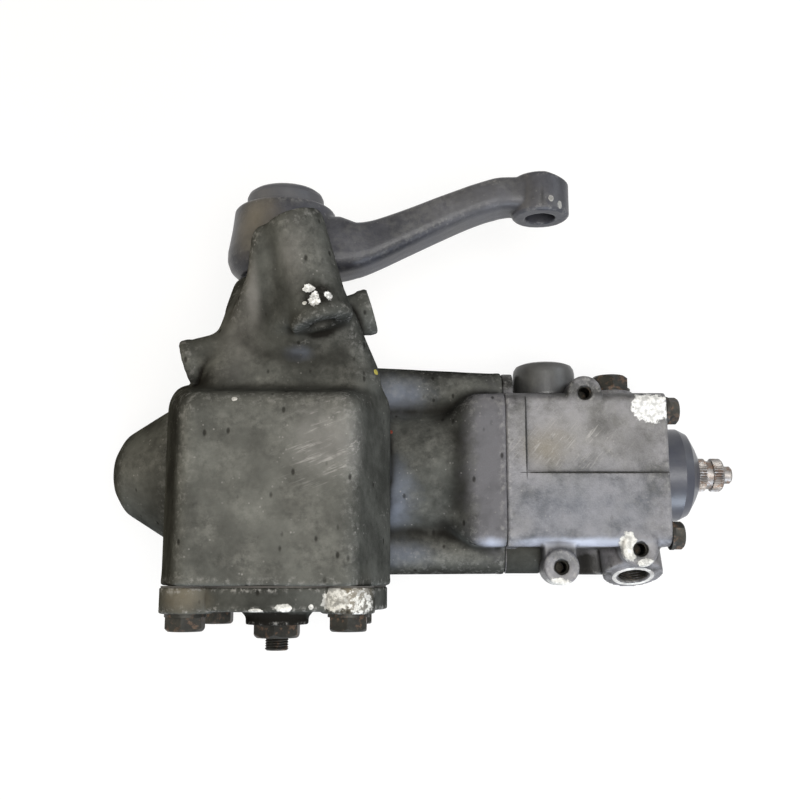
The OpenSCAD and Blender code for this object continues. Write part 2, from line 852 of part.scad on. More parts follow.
// value of one column of the arm stations at a place along the arm, on a cubic through the stations
function arm_at(t, c, i = 0) =
  i < len(arm_stations) - 2 && t > arm_stations[i + 1][0]
    ? arm_at(t, c, i + 1)
    : let (w = arm_stations[i + 1][0] - arm_stations[i][0], u = (t - arm_stations[i][0]) / w)
      (1 + 2 * u) * (1 - u) * (1 - u) * arm_stations[i][c]
      + u * (1 - u) * (1 - u) * w * arm_slope(c, i)
      + u * u * (3 - 2 * u) * arm_stations[i + 1][c]
      - u * u * (1 - u) * w * arm_slope(c, i + 1);

// point of the arm skin: a rounded bar with a parting ridge at half thickness
function arm_point(t, a) = [
  sector_x + t * arm_len,
  arm_at(t, 1) + arm_at(t, 2) * sign(sin(a)) * pow(abs(sin(a)), 0.55),
  sector_z + arm_at(t, 3) * sign(cos(a)) * pow(abs(cos(a)), 0.45)];

// forged bar between hub and eye
module arm_bar() {
  rows = 30;
  cols = 28;
  skin = [for (i = [0 : rows], j = [0 : cols - 1])
    arm_point(arm_stations[0][0] + (1 - arm_stations[0][0]) * i / rows, 360 * j / cols)];
  side = [for (i = [0 : rows - 1], j = [0 : cols - 1])
    [i * cols + j, i * cols + (j + 1) % cols, (i + 1) * cols + (j + 1) % cols, (i + 1) * cols + j]];
  start = [for (j = [cols - 1 : -1 : 0]) j];
  end = [for (j = [0 : cols - 1]) rows * cols + j];
  polyhedron(points = skin, faces = concat([start], side, [end]), convexity = 6);
}

// forged drop arm with a tapered hub hole and a tapered eye
module drop_arm() {
  color([0.12, 0.12, 0.13])
    difference() {
      union() {
        on_sector() {
          cone(hub_r - 6.5, hub_r - 1.7, hub_low, hub_low + 4.5);
          cone(hub_r - 1.7, hub_r, hub_low + 4.5, hub_low + 9);
          rod(hub_r, hub_low + 9, hub_low + 14);
          cone(hub_r, hub_r - 2, hub_low + 14, hub_low + 26);
          cone(hub_r - 2, hub_r - 3.2, hub_low + 26, hub_top - 1.6);
          cone(hub_r - 3.2, hub_r - 5, hub_top - 1.6, hub_top);
        }
        arm_bar();
        translate([eye_x, 0, sector_z])
          rotate([-90, 0, 0]) {
            rod(eye_r, eye_low + 2, eye_top - 2);
            cone(eye_r - 1.5, eye_r, eye_low, eye_low + 2);
            cone(eye_r, eye_r - 1.5, eye_top - 2, eye_top);
          }
      }
      on_sector() {
        cone(taper_r + seat_gap, taper_r - taper_drop + seat_gap, neck_top - 3.5, plate_low - 3);
        rod(taper_r - taper_drop + seat_gap, plate_low - 3.5, plate_low + 1);
        rod(arm_nut_af / sqrt(3) + 1, plate_low, hub_top + 1);
      }
      translate([eye_x, 0, sector_z])
        rotate([-90, 0, 0])
          cone(eye_hole_r, eye_hole_end_r, eye_low - 0.01, eye_top + 0.01);
    }
}

// nut that holds the drop arm
module arm_nut() {
  color([0.15, 0.15, 0.15])
    on_sector()
      difference() {
        hex(arm_nut_af, nut_low, nut_low + arm_nut_h);
        rod(shaft_thread_r + seat_gap, nut_low - 1, nut_low + arm_nut_h + 1);
      }
}

// pressed cap over the drop arm nut
module nut_cap() {
  top = hub_top + nut_cap_h;
  color([0.12, 0.12, 0.13])
    on_sector()
      difference() {
        union() {
          rod(nut_cap_r, hub_top, top - 4.6);
          cone(nut_cap_r, nut_cap_r - 0.9, top - 4.6, top - 2.5);
          cone(nut_cap_r - 0.9, nut_cap_r - 2.8, top - 2.5, top - 1);
          cone(nut_cap_r - 2.8, nut_cap_r - 6.8, top - 1, top);
        }
        rod(nut_cap_r - nut_cap_wall, hub_top - 1, top - 5);
        cone(nut_cap_r - nut_cap_wall, nut_cap_r - 5, top - 5.01, top - nut_cap_wall);
      }
}

// lock plate under the drop arm nut
module lock_plate() {
  color([0.3, 0.3, 0.3])
    on_sector()
      ring(shaft_thread_r + 0.2, arm_nut_af * 0.55, plate_low, nut_low);
}

// space between two rack teeth, drawn down from the tip line
module rack_space() {
  half = pitch_mm / 4 + tooth_backlash / 4;
  up = tooth_addendum + 0.5;
  down = tooth_addendum + tip_clearance;
  polygon([
    [-half - up * tan(flank_angle), up],
    [-half + down * tan(flank_angle), -down],
    [half - down * tan(flank_angle), -down],
    [half + up * tan(flank_angle), up]]);
}

// section of the ball groove across the axis, as a bulge of a round bar
module groove_section(land, groove, out) {
  polygon([for (a = [-180 : 15 : 165])
    let (s = lead * a / 360, bulge = sqrt(max(0, groove * groove - s * s)))
    let (r = out > 0 ? max(land, ball_circle_r + bulge) : min(land, ball_circle_r - bulge))
    [r * cos(a), r * sin(a)]]);
}

// helical body of that section between two places along the worm
module groove_body(land, groove, out, x0, x1, per_turn) {
  translate([0, 0, x0])
    rotate([0, 0, 360 * (x0 - circuit_x) / lead])
      linear_extrude(height = x1 - x0, twist = -360 * (x1 - x0) / lead,
        slices = ceil((x1 - x0) / lead * per_turn))
        groove_section(land, groove, out);
}

// rack piston and ball nut
module piston() {
  thread_x0 = circuit_x - 3;
  thread_x1 = circuit_x + circuit_len + 3;
  color([0.52, 0.52, 0.51])
    difference() {
      on_worm() {
        rod(piston_r, piston_x0 + 3, piston_x1);
        cone(piston_r - 3, piston_r, piston_x0, piston_x0 + 3);
      }
      translate([piston_x0 - 1, worm_y - 40, worm_z + rack_offset + tooth_addendum])
        cube([piston_left + rack_flat_right + 1, 80, 40]);
      for (k = [-2 : 2])
        translate([sector_x + k * pitch_mm, worm_y + 40, worm_z + rack_offset])
          rotate([90, 0, 0])
            linear_extrude(height = 80)
              rack_space();
      on_worm() {
        rod(nut_land_r, piston_x0 - 1, piston_x1 + 1);
        groove_body(nut_land_r - 0.2, ball_r + ball_gap + 0.2, 1, thread_x0, thread_x1, 20);
        ring(piston_r - ring_h - 0.2, piston_r + 2, ring_x - ring_w / 2 - 0.1, ring_x + ring_w / 2 + 0.1);
      }
      return_path(return_out_r + seat_gap);
      translate([circuit_x - return_out_r - 1, worm_y - return_out_r - 1, worm_z - piston_r - 1])
        cube([circuit_len + 2 * return_out_r + 2, 2 * return_out_r + 2, piston_r - return_axis_r + 1]);
    }
}

// seal ring of the piston
module piston_ring() {
  color([0.1, 0.1, 0.1])
    on_worm()
      ring(piston_r - ring_h, cylinder_bore_r - run_gap, ring_x - ring_w / 2, ring_x + ring_w / 2);
}

// path of the ball return: two legs out of the groove and a run along the piston
module return_path(r) {
  for (x = [circuit_x, circuit_x + circuit_len])
    translate([x, worm_y, worm_z])
      rotate([180, 0, 0])
        rod(r, nut_land_r + 0.6, return_axis_r);
  translate([0, worm_y, worm_z - return_axis_r])
    rotate([0, 90, 0])
      rod(r, circuit_x, circuit_x + circuit_len);
  for (x = [circuit_x, circuit_x + circuit_len])
    translate([x, worm_y, worm_z - return_axis_r])
      sphere(r = r, $fn = 64);
}

// bent tube that leads the balls back
module ball_return() {
  color([0.6, 0.6, 0.58])
    difference() {
      return_path(return_out_r);
      return_path(return_bore_r);
      for (x = [circuit_x, circuit_x + circuit_len])
        translate([x, worm_y, worm_z])
          rotate([180, 0, 0])
            rod(return_bore_r, nut_land_r - 1, nut_land_r + 2);
    }
}

// loaded balls between worm and nut
module balls() {
  count = floor(2 * PI * ball_circle_r * ball_turns / (2 * ball_r + 0.25));
  color([0.75, 0.75, 0.74])
    on_worm()
      for (i = [1 : count - 1])
        rotate([0, 0, 360 * ball_turns * i / count])
          translate([ball_circle_r, 0, circuit_x + circuit_len * i / count])
            sphere(r = ball_r, $fn = 48);
}

// worm with ball groove, bearing journal and a head that carries the valve sleeve
module worm() {
  color([0.55, 0.55, 0.54])
    on_worm()
      difference() {
        union() {
          groove_body(worm_r, ball_r + ball_gap, -1, -worm_left, worm_right, 14);
          rod(worm_r - 0.6, worm_right - 1, bearing_x);
          rod(worm_journal_r, bearing_x - 1.2, worm_head_x + 1);
          rod(sleeve_r - 2, worm_head_x, sleeve_x - 0.5);
          rod(sleeve_bore_r - 0.6, sleeve_x - 1, sleeve_x + 5);
        }
        rod(bar_r + run_gap, worm_head_x - 8, sleeve_x + 6);
        rod(rotor_r - 3, sleeve_x - 6, sleeve_x + 6);
      }
}

// ball bearing of the worm, drawn as its two rings and shields
module worm_bearing() {
  color([0.6, 0.6, 0.6])
    on_worm()
      difference() {
        ring(worm_journal_r + run_gap, worm_bearing_r, bearing_x, bearing_x + worm_bearing_w);
        for (x = [bearing_x - 0.2, bearing_x + worm_bearing_w - 0.8])
          ring(worm_journal_r + 3, worm_bearing_r - 3, x, x + 1);
      }
}

// cast valve block with ports, bracket bosses and spigot
module valve_housing() {
  corner = flange_half - flange_round;
  color([0.16, 0.16, 0.165])
    difference() {
      union() {
        hull() {
          for (sy = [-1, 1], sz = [-1, 1])
            translate([valve_seam_x, worm_y + sy * corner, worm_z + sz * corner])
              rotate([0, 90, 0])
                cylinder(r = flange_round, h = valve_len, $fn = 32);
        }
        on_worm() {
          rod(cylinder_bore_r - 0.1, spigot_x, valve_seam_x + 1);
          rod(end_boss_r, valve_end - 1, boss_end);
        }
        for (b = brackets)
          translate([b[0], b[1], pad_z - 22])
            cylinder(r = bracket_boss_r, h = 22, $fn = 64);
        for (b = brackets)
          translate([b[0] - bracket_boss_r * 0.9, min(b[1], worm_y), pad_z - 21])
            cube([bracket_boss_r * 1.8, abs(b[1] - worm_y), 18]);
        on_port()
          rod(port_boss_r, -40, 0);
        translate([return_x, return_y, return_z])
          rotate([-90, 0, 0])
            rod(return_boss_r, 0, 40);
        translate([cap_x, 0, cap_z])
          rotate([-90, 0, 0])
            rod(cap_r - 2, 0, cap_low);
        translate([plug_x, 0, plug_z])
          rotate([-90, 0, 0])
            rod(plug_af * 0.68, 0, plug_low);
        for (sy = [-1, 1])
          translate([valve_seam_x, worm_y + sy * (rail_half - rail_r), worm_z + 16])
            rotate([0, 90, 0])
              rod(rail_r - 0.5, 0, 6);
      }
      on_worm() {
        rod(worm_bearing_r + seat_gap, spigot_x - 1, worm_head_x);
        rod(valve_bore_r, worm_head_x - 1, input_seat_x - 2);
        rod(input_seat_r + seat_gap, input_seat_x - 3, boss_end + 1);
        ring(cylinder_bore_r - 2.6, cylinder_bore_r + 2, spigot_x + 8.4, spigot_x + 11.6);
      }
      for (b = brackets)
        translate([b[0], b[1], pad_z - bracket_depth])
          cylinder(r = bracket_hole_r, h = bracket_depth + 1, $fn = 48);
      for (b = brackets)
        translate([b[0], b[1], pad_z - 1])
          cylinder(r1 = bracket_hole_r, r2 = bracket_hole_r + 1.2, h = 1.2, $fn = 48);
      on_port() {
        rod(port_hole_r, -port_depth, 1);
        rod(5, -46, 1);
        ring(12.2, port_boss_r + 1, -1.2, 1);
      }
      translate([return_x, return_y, return_z])
        rotate([-90, 0, 0]) {
          rod(return_hole_r, -1, port_depth);
          rod(4.5, -1, 40);
        }
      translate([cap_x, 0, cap_z])
        rotate([-90, 0, 0])
          rod(cap_stem_r + seat_gap, 1, cap_low + 1);
      translate([plug_x, 0, plug_z])
        rotate([-90, 0, 0])
          rod(plug_stem_r + seat_gap, 1, plug_low + 1);
      at_valve_bolts()
        rod(valve_bolt_r + 0.3, valve_seam_x - 1, valve_end + 1);
      translate([valve_seam_x + 10.8, worm_y - 2.7, pad_z - 0.8])
        cube([valve_len, flange_half + 20, 2]);
    }
}

// seal ring on the spigot of the valve block
module valve_o_ring() {
  color([0.06, 0.06, 0.06])
    on_worm()
      translate([0, 0, spigot_x + 10])
        rotate_extrude($fn = 96)
          translate([cylinder_bore_r - 1.35, 0])
            circle(r = 1.25, $fn = 32);
}

// four long bolts that hold the valve block
module valve_bolts() {
  color([0.22, 0.22, 0.21])
    at_valve_bolts() {
      rod(valve_bolt_r, valve_seam_x - 16, valve_end + washer_t + 1);
      hex(valve_bolt_af, valve_end + washer_t, valve_end + washer_t + valve_head_h);
    }
}

// washers of the valve bolts
module valve_washers() {
  color([0.3, 0.29, 0.27])
    at_valve_bolts()
      ring(valve_bolt_r + 0.2, valve_bolt_af * 0.6, valve_end, valve_end + washer_t);
}

// valve sleeve with ring grooves, flow grooves and radial holes
module valve_sleeve() {
  color([0.55, 0.55, 0.55])
    on_worm()
      difference() {
        ring(sleeve_bore_r, sleeve_r, sleeve_x, sleeve_end);
        for (i = [0 : 3])
          ring(sleeve_r - 1.6, sleeve_r + 1, sleeve_x + 5 + i * 14, sleeve_x + 8 + i * 14);
        for (i = [0 : 2])
          ring(sleeve_r - 1.2, sleeve_r + 1, sleeve_x + 11.5 + i * 14, sleeve_x + 15.5 + i * 14);
        for (i = [0 : 2], k = [0 : 3])
          translate([0, 0, sleeve_x + 13.5 + i * 14])
            rotate([0, 90, k * 90 + i * 30])
              rod(1.4, 8, sleeve_r + 1);
      }
}

// four plastic seal rings of the valve sleeve
module sleeve_rings() {
  color([0.2, 0.17, 0.12])
    on_worm()
      for (i = [0 : 3])
        ring(sleeve_r - 1.5, valve_bore_r - free_gap, sleeve_x + 5.2 + i * 14, sleeve_x + 7.8 + i * 14);
}

// input shaft: valve rotor, journal, spline and tip
module input_shaft() {
  color([0.46, 0.44, 0.42])
    on_worm()
      difference() {
        union() {
          rod(rotor_r, sleeve_x + 5.5, input_seat_x - 1);
          rod(rotor_r - 3.5, sleeve_x - 5.4, sleeve_x + 6);
          rod(input_journal_r, input_seat_x - 2, dust_cap_end + 0.4);
          rod(spline_r, dust_cap_end - 1, spline_end - 1);
          cone(spline_r, spline_r - 1, spline_end - 1, spline_end);
          rod(tip_r, spline_end - 1, tip_end - 1);
          cone(tip_r, tip_r - 1, tip_end - 1, tip_end);
        }
        rod(bar_r + seat_gap, sleeve_x - 6, boss_end + 4);
        ring(spline_r - 1.4, spline_r + 1, spline_end - 10, spline_end - 6);
        for (k = [0 : 5])
          rotate([0, 0, 60 * k])
            translate([rotor_r - 1.3, -1.6, sleeve_x + 10])
              cube([3, 3.2, 32]);
        translate([0, 0, boss_end - 3])
          rotate([0, 90, 0])
            rod(pin_r + seat_gap, -15, 15);
      }
}

// torsion bar between input shaft and worm
module torsion_bar() {
  color([0.5, 0.5, 0.52])
    on_worm()
      difference() {
        rod(bar_r, worm_head_x - 7, boss_end + 3.6);
        ring(bar_r - 0.7, bar_r + 1, sleeve_x + 8, boss_end - 12);
        translate([0, 0, boss_end - 3])
          rotate([0, 90, 0])
            rod(pin_r + seat_gap, -15, 15);
      }
}

// pin that holds the torsion bar in the input shaft
module bar_pin() {
  color([0.45, 0.45, 0.45])
    on_worm()
      translate([0, 0, boss_end - 3])
        rotate([0, 90, 0])
          rod(pin_r, 0.3 - input_journal_r, input_journal_r - 0.3);
}

// needle bearing of the input shaft, drawn as its shell
module input_bearing() {
  color([0.58, 0.58, 0.57])
    on_worm()
      ring(input_journal_r + run_gap, input_seat_r, input_seat_x, input_seat_x + 11.5);
}

// shaft seal of the input shaft
module input_seal() {
  color([0.07, 0.07, 0.07])
    on_worm()
      difference() {
        ring(input_journal_r + free_gap, input_seat_r, input_seat_x + 13.5, input_seat_x + 21);
        ring(input_journal_r + 1.6, input_seat_r - 1.6, input_seat_x + 18, input_seat_x + 22);
      }
}

// rubber dust cap over the input end
module dust_cap() {
  color([0.2, 0.21, 0.24])
    on_worm()
      difference() {
        union() {
          rod(dust_cap_r, valve_end + 0.2, dust_cap_end - 11);
          cone(dust_cap_r, dust_cap_r - 2.5, dust_cap_end - 11, dust_cap_end - 6);
          cone(dust_cap_r - 2.5, dust_cap_r - 9, dust_cap_end - 6, dust_cap_end - 2);
          cone(dust_cap_r - 9, dust_cap_r - 13, dust_cap_end - 2, dust_cap_end);
        }
        rod(end_boss_r + 0.1, valve_end - 1, boss_end + 0.5);
        rod(input_journal_r + 3, boss_end - 1, dust_cap_end - 5);
        rod(input_journal_r + free_gap, boss_end, dust_cap_end + 1);
      }
}

// round cap on the valve block
module port_cap() {
  color([0.1, 0.1, 0.1])
    translate([cap_x, 0, cap_z])
      rotate([-90, 0, 0]) {
        rod(cap_stem_r, 2, cap_low + 1);
        rod(cap_r, cap_low, cap_low + cap_h - 4);
        cone(cap_r, cap_r - 1.5, cap_low + cap_h - 4, cap_low + cap_h - 1.5);
        cone(cap_r - 1.5, cap_r - 4, cap_low + cap_h - 1.5, cap_low + cap_h);
      }
}

// hexagon plug of the oil gallery
module gallery_plug() {
  color([0.13, 0.13, 0.13])
    translate([plug_x, 0, plug_z])
      rotate([-90, 0, 0]) {
        rod(plug_stem_r, 2, plug_low + 1);
        rod(plug_af * 0.62, plug_low, plug_low + 1.8);
        hex(plug_af, plug_low + 1.5, plug_low + plug_h);
      }
}

housing();
side_cover();
cover_gasket();
cover_bolts();
cover_washers();
adjusting_screw();
lock_nut();
lock_washer();
neck_bush();
cover_bush();
neck_seal();
seal_circlip();
sector_shaft();
drop_arm();
arm_nut();
nut_cap();
lock_plate();
piston();
piston_ring();
ball_return();
balls();
worm();
worm_bearing();
valve_housing();
valve_o_ring();
valve_bolts();
valve_washers();
valve_sleeve();
sleeve_rings();
input_shaft();
torsion_bar();
bar_pin();
input_bearing();
input_seal();
dust_cap();
port_cap();
gallery_plug();
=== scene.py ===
"""Looks of a recirculating-ball steering gear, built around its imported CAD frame.

Castings are softened copies of their CAD nodes, turned and threaded pieces are numpy surfaces,
and all other nodes keep their CAD shape and get a procedural finish.
"""

import math

import bmesh
import bpy
import numpy as np
from bpy.props import FloatProperty, FloatVectorProperty, IntProperty, PointerProperty
from mathutils import Matrix, Vector


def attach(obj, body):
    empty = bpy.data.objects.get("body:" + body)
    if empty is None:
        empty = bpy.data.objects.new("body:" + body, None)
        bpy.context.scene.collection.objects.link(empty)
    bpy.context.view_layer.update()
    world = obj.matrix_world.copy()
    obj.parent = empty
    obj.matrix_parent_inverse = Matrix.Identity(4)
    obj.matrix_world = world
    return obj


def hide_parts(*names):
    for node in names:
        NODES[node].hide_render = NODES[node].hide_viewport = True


bl_info = {
    "name": "Steering Gear",
    "version": (1, 0, 0),
    "blender": (4, 5, 0),
    "location": "View3D > Sidebar > Steering Gear",
    "description": "Dresses the packed steering gear with cast, forged and turned surfaces",
    "category": "Object",
}

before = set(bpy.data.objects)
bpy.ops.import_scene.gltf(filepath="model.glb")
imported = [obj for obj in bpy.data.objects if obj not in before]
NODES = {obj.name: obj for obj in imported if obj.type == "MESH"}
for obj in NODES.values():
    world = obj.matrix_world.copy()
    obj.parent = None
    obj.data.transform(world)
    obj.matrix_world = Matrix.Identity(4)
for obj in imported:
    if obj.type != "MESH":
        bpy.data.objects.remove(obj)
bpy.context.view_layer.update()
MM = 0.001

# axes of the gear in the part frame, in metres
WORM_AXIS = (0.0, -0.0338, 0.042)
SECTOR_AXIS = (-0.0765, 0.0, 0.098)

# machined places of the housing that stay crisp, and the distances at which that fades, in metres
VALVE_SEAM_X, VALVE_SEAM_FADE = 0.0436, (0.003, 0.007)
COVER_SEAM_Y, COVER_SEAM_FADE = -0.0957, (0.003, 0.008)
LUG_ENDS, LUG_FADE = ((-0.1241, 0.0161, 0.116), (-0.0284, 0.0443, 0.116)), (0.014, 0.019)
COLUMN_END, COLUMN_FADE, COLUMN_SHARE = (-0.0510, 0.0287, 0.148), (0.016, 0.022), 0.6

# bores that are stopped before softening: origin, axis, radius, start and stop, in metres
HOUSING_BORES = (
    (WORM_AXIS, (1, 0, 0), 0.0322, -0.150, 0.0432),
    (SECTOR_AXIS, (0, 1, 0), 0.0420, -0.0957, -0.020),
    (SECTOR_AXIS, (0, 1, 0), 0.0225, -0.030, 0.0625),
)
COVER_BORES = ((SECTOR_AXIS, (0, 1, 0), 0.016, -0.1155, -0.080),)
VALVE_BORES = ((WORM_AXIS, (1, 0, 0), 0.0228, 0.0290, 0.1420),)
# offset from the smoothed surface at which a ridge or hollow counts in full, in metres
RIDGE_REACH = 0.0009

# shared by the shader groups
ORIGIN = (0.0, 0.0, 0.0)
WEATHER = ("Dust", "Dirt", "Wear", "Specks")

# hose ports in metres, and bracket holes in millimetres
PORT_LEAN = math.radians(24)
PORT_AXIS = (0.0, -math.cos(PORT_LEAN), math.sin(PORT_LEAN))
PORT_PLACE = (0.1146, -0.0916, 0.060)
RETURN_PLACE = (0.099, -0.0905, 0.036)
BRACKET_HOLES = ((86.9, 7.2), (113.9, -77.4), (71.7, -86.7))
BRACKET_TOP = 83.2
# cups in them, in millimetres: skirt round the bore, depth, face and lip, both ends of the thread,
# its reach past the bore, its depth and its pitch
PORT_CUP = (2.4, 11.5, -0.9, 0.3, -11.2, -1.3, 0.8, 0.9, 1.5)
RETURN_CUP = (1.2, 11.5, -0.4, 0.5, -11.2, -1.0, 0.4, 0.8, 1.5)
BRACKET_CUP = (0.9, 12.8, -0.6, 0.3, -12.6, -0.8, 0.2, 0.5, 1.25)
PORT_SLACK = 0.0002

# turned profiles as (radius, station) in millimetres, from the inner end outwards
SHAFT_PROFILE = (
    (0, 51.3), (9.4, 51.3), (9.4, 62.5), (12.9, 62.5), (12.9, 116.5), (11, 116.5), (11, 155.9),
    (10.7, 156.2), (9.5, 156.2), (9.5, 161.4), (8.1, 161.5), (8.1, 165.3), (9.5, 165.4),
    (9.5, 170.4), (8.5, 171.4), (5, 171.5), (5, 176.2), (4, 177.2), (1.6, 177.2), (0, 175.6),
)
SCREW_PROFILE = (
    (0, 86.8), (8.5, 86.8), (8.5, 91.8), (6, 91.8), (6, 127.6), (5.2, 128.4), (2.4, 128.4),
    (2.4, 124.5), (0, 124.5),
)
DRUM_PROFILE = (
    (0, 8.2), (17.5, 8.2), (17.8, 9.2), (17.6, 22.5), (17.1, 25), (15.9, 26.9), (13.6, 27.9),
    (9, 28.1), (0, 28.1),
)
DRUM_ORIGIN = (0.0687, 0.0, 0.054)
RAIL_PROFILE = ((0, 44.4), (10.6, 44.4), (10.6, 62.2), (9.6, 64.6), (7.4, 66.2), (0, 66.8))
RAIL_ORIGIN = (0.0, -0.0793, 0.058)
PROFILE_STEP = 0.0012
SMOOTH_ANGLE = math.radians(32)
SPLINE_SPAN, SPLINE_SLACK = (0.1564, 0.1712), 0.0005
# thread of the adjusting screw in metres: both ends and largest radius, depth, pitch
SCREW_SPAN, SCREW_DEPTH, SCREW_PITCH = (0.0925, 0.1276, 0.007), 0.0007, 0.00125

ARM_LENGTH = 0.1393
# along the arm: share of its length, CAD and worked middles in millimetres, shares of thickness
# and width
ARM_STATIONS = (
    (0.2, 83.3, 82.5, 0.89, 1), (0.29, 83.9, 83, 0.88, 1), (0.35, 86, 85.4, 0.86, 1),
    (0.48, 93.2, 92.8, 0.84, 1.05), (0.59, 100.3, 99.8, 0.83, 1.08), (0.72, 108, 107.4, 0.82, 1.1),
    (0.82, 113.4, 112.1, 0.79, 1.09), (0.885, 112.6, 112.1, 0.71, 1), (1, 112.6, 112.1, 0.71, 1),
)
# share of the arm's length at which slimming is full, and over which it sets in
HUB_END, HUB_FADE = 0.28, 0.06
# upper end of the arm's eye in metres: the heights between which it is drawn down, the drop at its
# tip, the tip and the run up to it, and where the drawing sets in
EYE_START, EYE_TOP, EYE_DROP = 0.117, 0.1231, 0.0034
EYE_TIP_X, EYE_RUN = 0.0785, 0.0145
EYE_FROM_X, EYE_FADE = 0.044, 0.008

# tinted areas, among them painted shade and painted highlights: centre and size in millimetres,
# tint and its share
HOUSING_TONES = (
    (-72, -48, 156, 75, 80, 16, "dust", 0.26),
    (-48, -27, 154, 26, 26, 20, "scuff", 0.4),
    # painted shade on the box's left flank
    (-126, -47, 132, 14, 90, 50, "dirt", 0.6),
    (-66.5, 60, 161, 12, 26, 12, "scuff", 0.3),
    (-53, 40, 162.5, 12, 9, 8, "dirt", 1.4),
    # painted shade on the column's lower end face
    (-51.5, 29.5, 150, 22, 8, 22, "dirt", 0.8),
    # painted highlights: a cool sheen on the cylinder's top, lower left and lower rail
    (-17, 8, 69, 26, 18, 18, "film", 0.8),
    (-19, -52, 77, 20, 36, 20, "film", 0.8),
    (-13, -79, 69, 28, 12, 14, "film", 0.55),
    # painted shade in the cylinder's band by the flange, in the pad's concave corners and along
    # both rails
    (19, -33, 78, 9, 48, 20, "dirt", 0.85),
    (11, -1, 73, 16, 11, 14, "dirt", 0.9),
    (11, -66.5, 72, 16, 10, 14, "dirt", 0.9),
    (5, 21.5, 62, 60, 8, 20, "dirt", 0.7),
    (8, -90, 60, 60, 8, 20, "dirt", 0.8),
    # painted shade at the box's top left corner and on the neck under the column
    (-112, 4.5, 128, 22, 9, 24, "dirt", 0.9),
    (-62, 14, 138, 40, 14, 16, "dirt", 0.35),
    (-96, 30, 134, 20, 40, 30, "scuff", 0.2),
    (-87, 48, 142, 6, 26, 20, "scuff", 0.4),
    # painted highlight on the neck
    (-64.1, 17.4, 134, 10, 5, 12, "film", 0.8),
    (-156, -34, 73, 34, 44, 34, "dust", 0.14),
    (36.5, -34, 84, 20, 110, 22, "valve_paint", 1.7),
    # painted highlight along the lower edge of the housing's flange
    (36, -73.5, 79, 12, 5, 9, "edge_film", 1),
    # painted shade on the neck's right side
    (-40, 33, 140, 12, 34, 30, "dirt", 0.5),
)
COVER_TONES = (
    (-113, -101, 148, 16, 12, 20, "rust_skin", 0.65),
    (-36, -101, 148, 15, 11, 20, "rust_skin", 0.8),
    (-75, -100, 150, 36, 16, 30, "dirt", 0.35),
    (-76.5, -113, 112, 32, 7, 30, "dirt", 2),
)
VALVE_TONES = (
    (85, -17, 83, 70, 34, 12, "scuff", 0.4),
    # painted sheen on the pad's lower half
    (85, -56, 84, 75, 40, 14, "film", 0.4),
    (66, -23, 83, 20, 18, 6, "rust_skin", 0.6),
    (96, -11, 83, 14, 12, 6, "dirt", 0.5),
    (114, -21, 83, 16, 14, 6, "dirt", 0.4),
    # painted shade under the flange by the rail end, and on the block's upper rounded corner
    (57, -80, 60, 22, 16, 16, "dirt", 1.8),
    (85, 7.5, 77, 75, 6, 20, "dirt", 1.1),
    (47, 17.5, 64, 12, 12, 18, "dirt", 1.6),
    # painted shade on the return boss beside the ear
    (91.5, -85, 46, 14, 11, 18, "dirt", 2),
    # painted highlight along the block's lower edge
    (85, -73.5, 79, 55, 4.5, 9, "edge_film", 1.4),
)
ARM_TONES = (
    (-90, 90, 124, 20, 26, 22, "rust_skin", 0.5),
    (30, 102, 112, 60, 36, 24, "scuff", 0.12),
    (64.9, 97.9, 112.6, 4, 3, 6, "dirt", 0.8),
    (62, 108, 113, 1.8, 10, 6, "dirt", 0.6),
)

# rubbed streaks: centre and size in millimetres, turn and share
HOUSING_RUBS = ((-48, -31, 154, 30, 34, 20, 1.2, 0.7),)
VALVE_RUBS = ((75, -17, 83, 50, 26, 10, 0.7, 0.8),)

# splashes: centre and size in millimetres, tint, raggedness and share of holes
HOUSING_SPLASHES = (
    (-57.3, 43.1, 162.5, 2.8, 2, 6, "fresh_white", 2.4, 0.4),
    (-54.3, 38.2, 162.5, 3.2, 3.2, 6, "fresh_white", 2.4, 0.4),
    (-48.3, 39.7, 162.5, 2.2, 2.2, 6, "fresh_white", 2.4, 0.4),
    (-59.2, 36, 162.5, 1.3, 1, 6, "white_paint", 0.9, 0),
    (-92.5, -8.5, 154, 1.6, 1.3, 4, "white_paint", 0.5, 0),
    (-18.8, -13.6, 76.5, 1, 1.2, 3, "red_fleck", 0.6, 0),
    (-26, 10.2, 124.6, 1.4, 1.6, 3, "yellow_fleck", 0.6, 0),
)
COVER_SPLASHES = (
    (-79.7, -107.3, 150, 4.5, 1.4, 8, "white_paint", 0.8, 0),
    (-67.3, -105.9, 150, 4.5, 2.2, 8, "white_paint", 0.8, 0),
    (-54.9, -105.5, 150, 1.2, 1.4, 8, "white_paint", 0.8, 0),
    (-44, -102, 148, 7, 6, 12, "white_paint", 1.3, 0.5),
    (-33, -103, 146, 7, 7, 12, "white_paint", 1.3, 0.8),
)
VALVE_SPLASHES = (
    (122.5, -1, 83, 11.2, 8.8, 14, "fresh_white", 1.1, 0),
    (107.5, -76, 84, 5, 8, 8, "white_paint", 1.2, 0),
    (116.5, -84.5, 84, 5, 2.6, 8, "white_paint", 1.2, 0.3),
    (70, -94.8, 78, 8.5, 2.8, 10, "white_paint", 1.2, 0.2),
    (93, -36.5, 83.6, 45, 0.6, 4, "dirt", 0.3, 0),
    (54.4, -15, 83.6, 0.6, 26, 4, "dirt", 0.3, 0),
    *((x, y, BRACKET_TOP, 4.6, 4.6, 6, "dirt", 0.4, 0) for x, y in BRACKET_HOLES),
)
ARM_SPLASHES = (
    (66.7, 107.2, 113.1, 1.6, 2, 4, "bare_iron", 0.8, 0),
    (71.7, 104.2, 110.8, 1.4, 2.4, 4, "bare_iron", 0.8, 0),
)

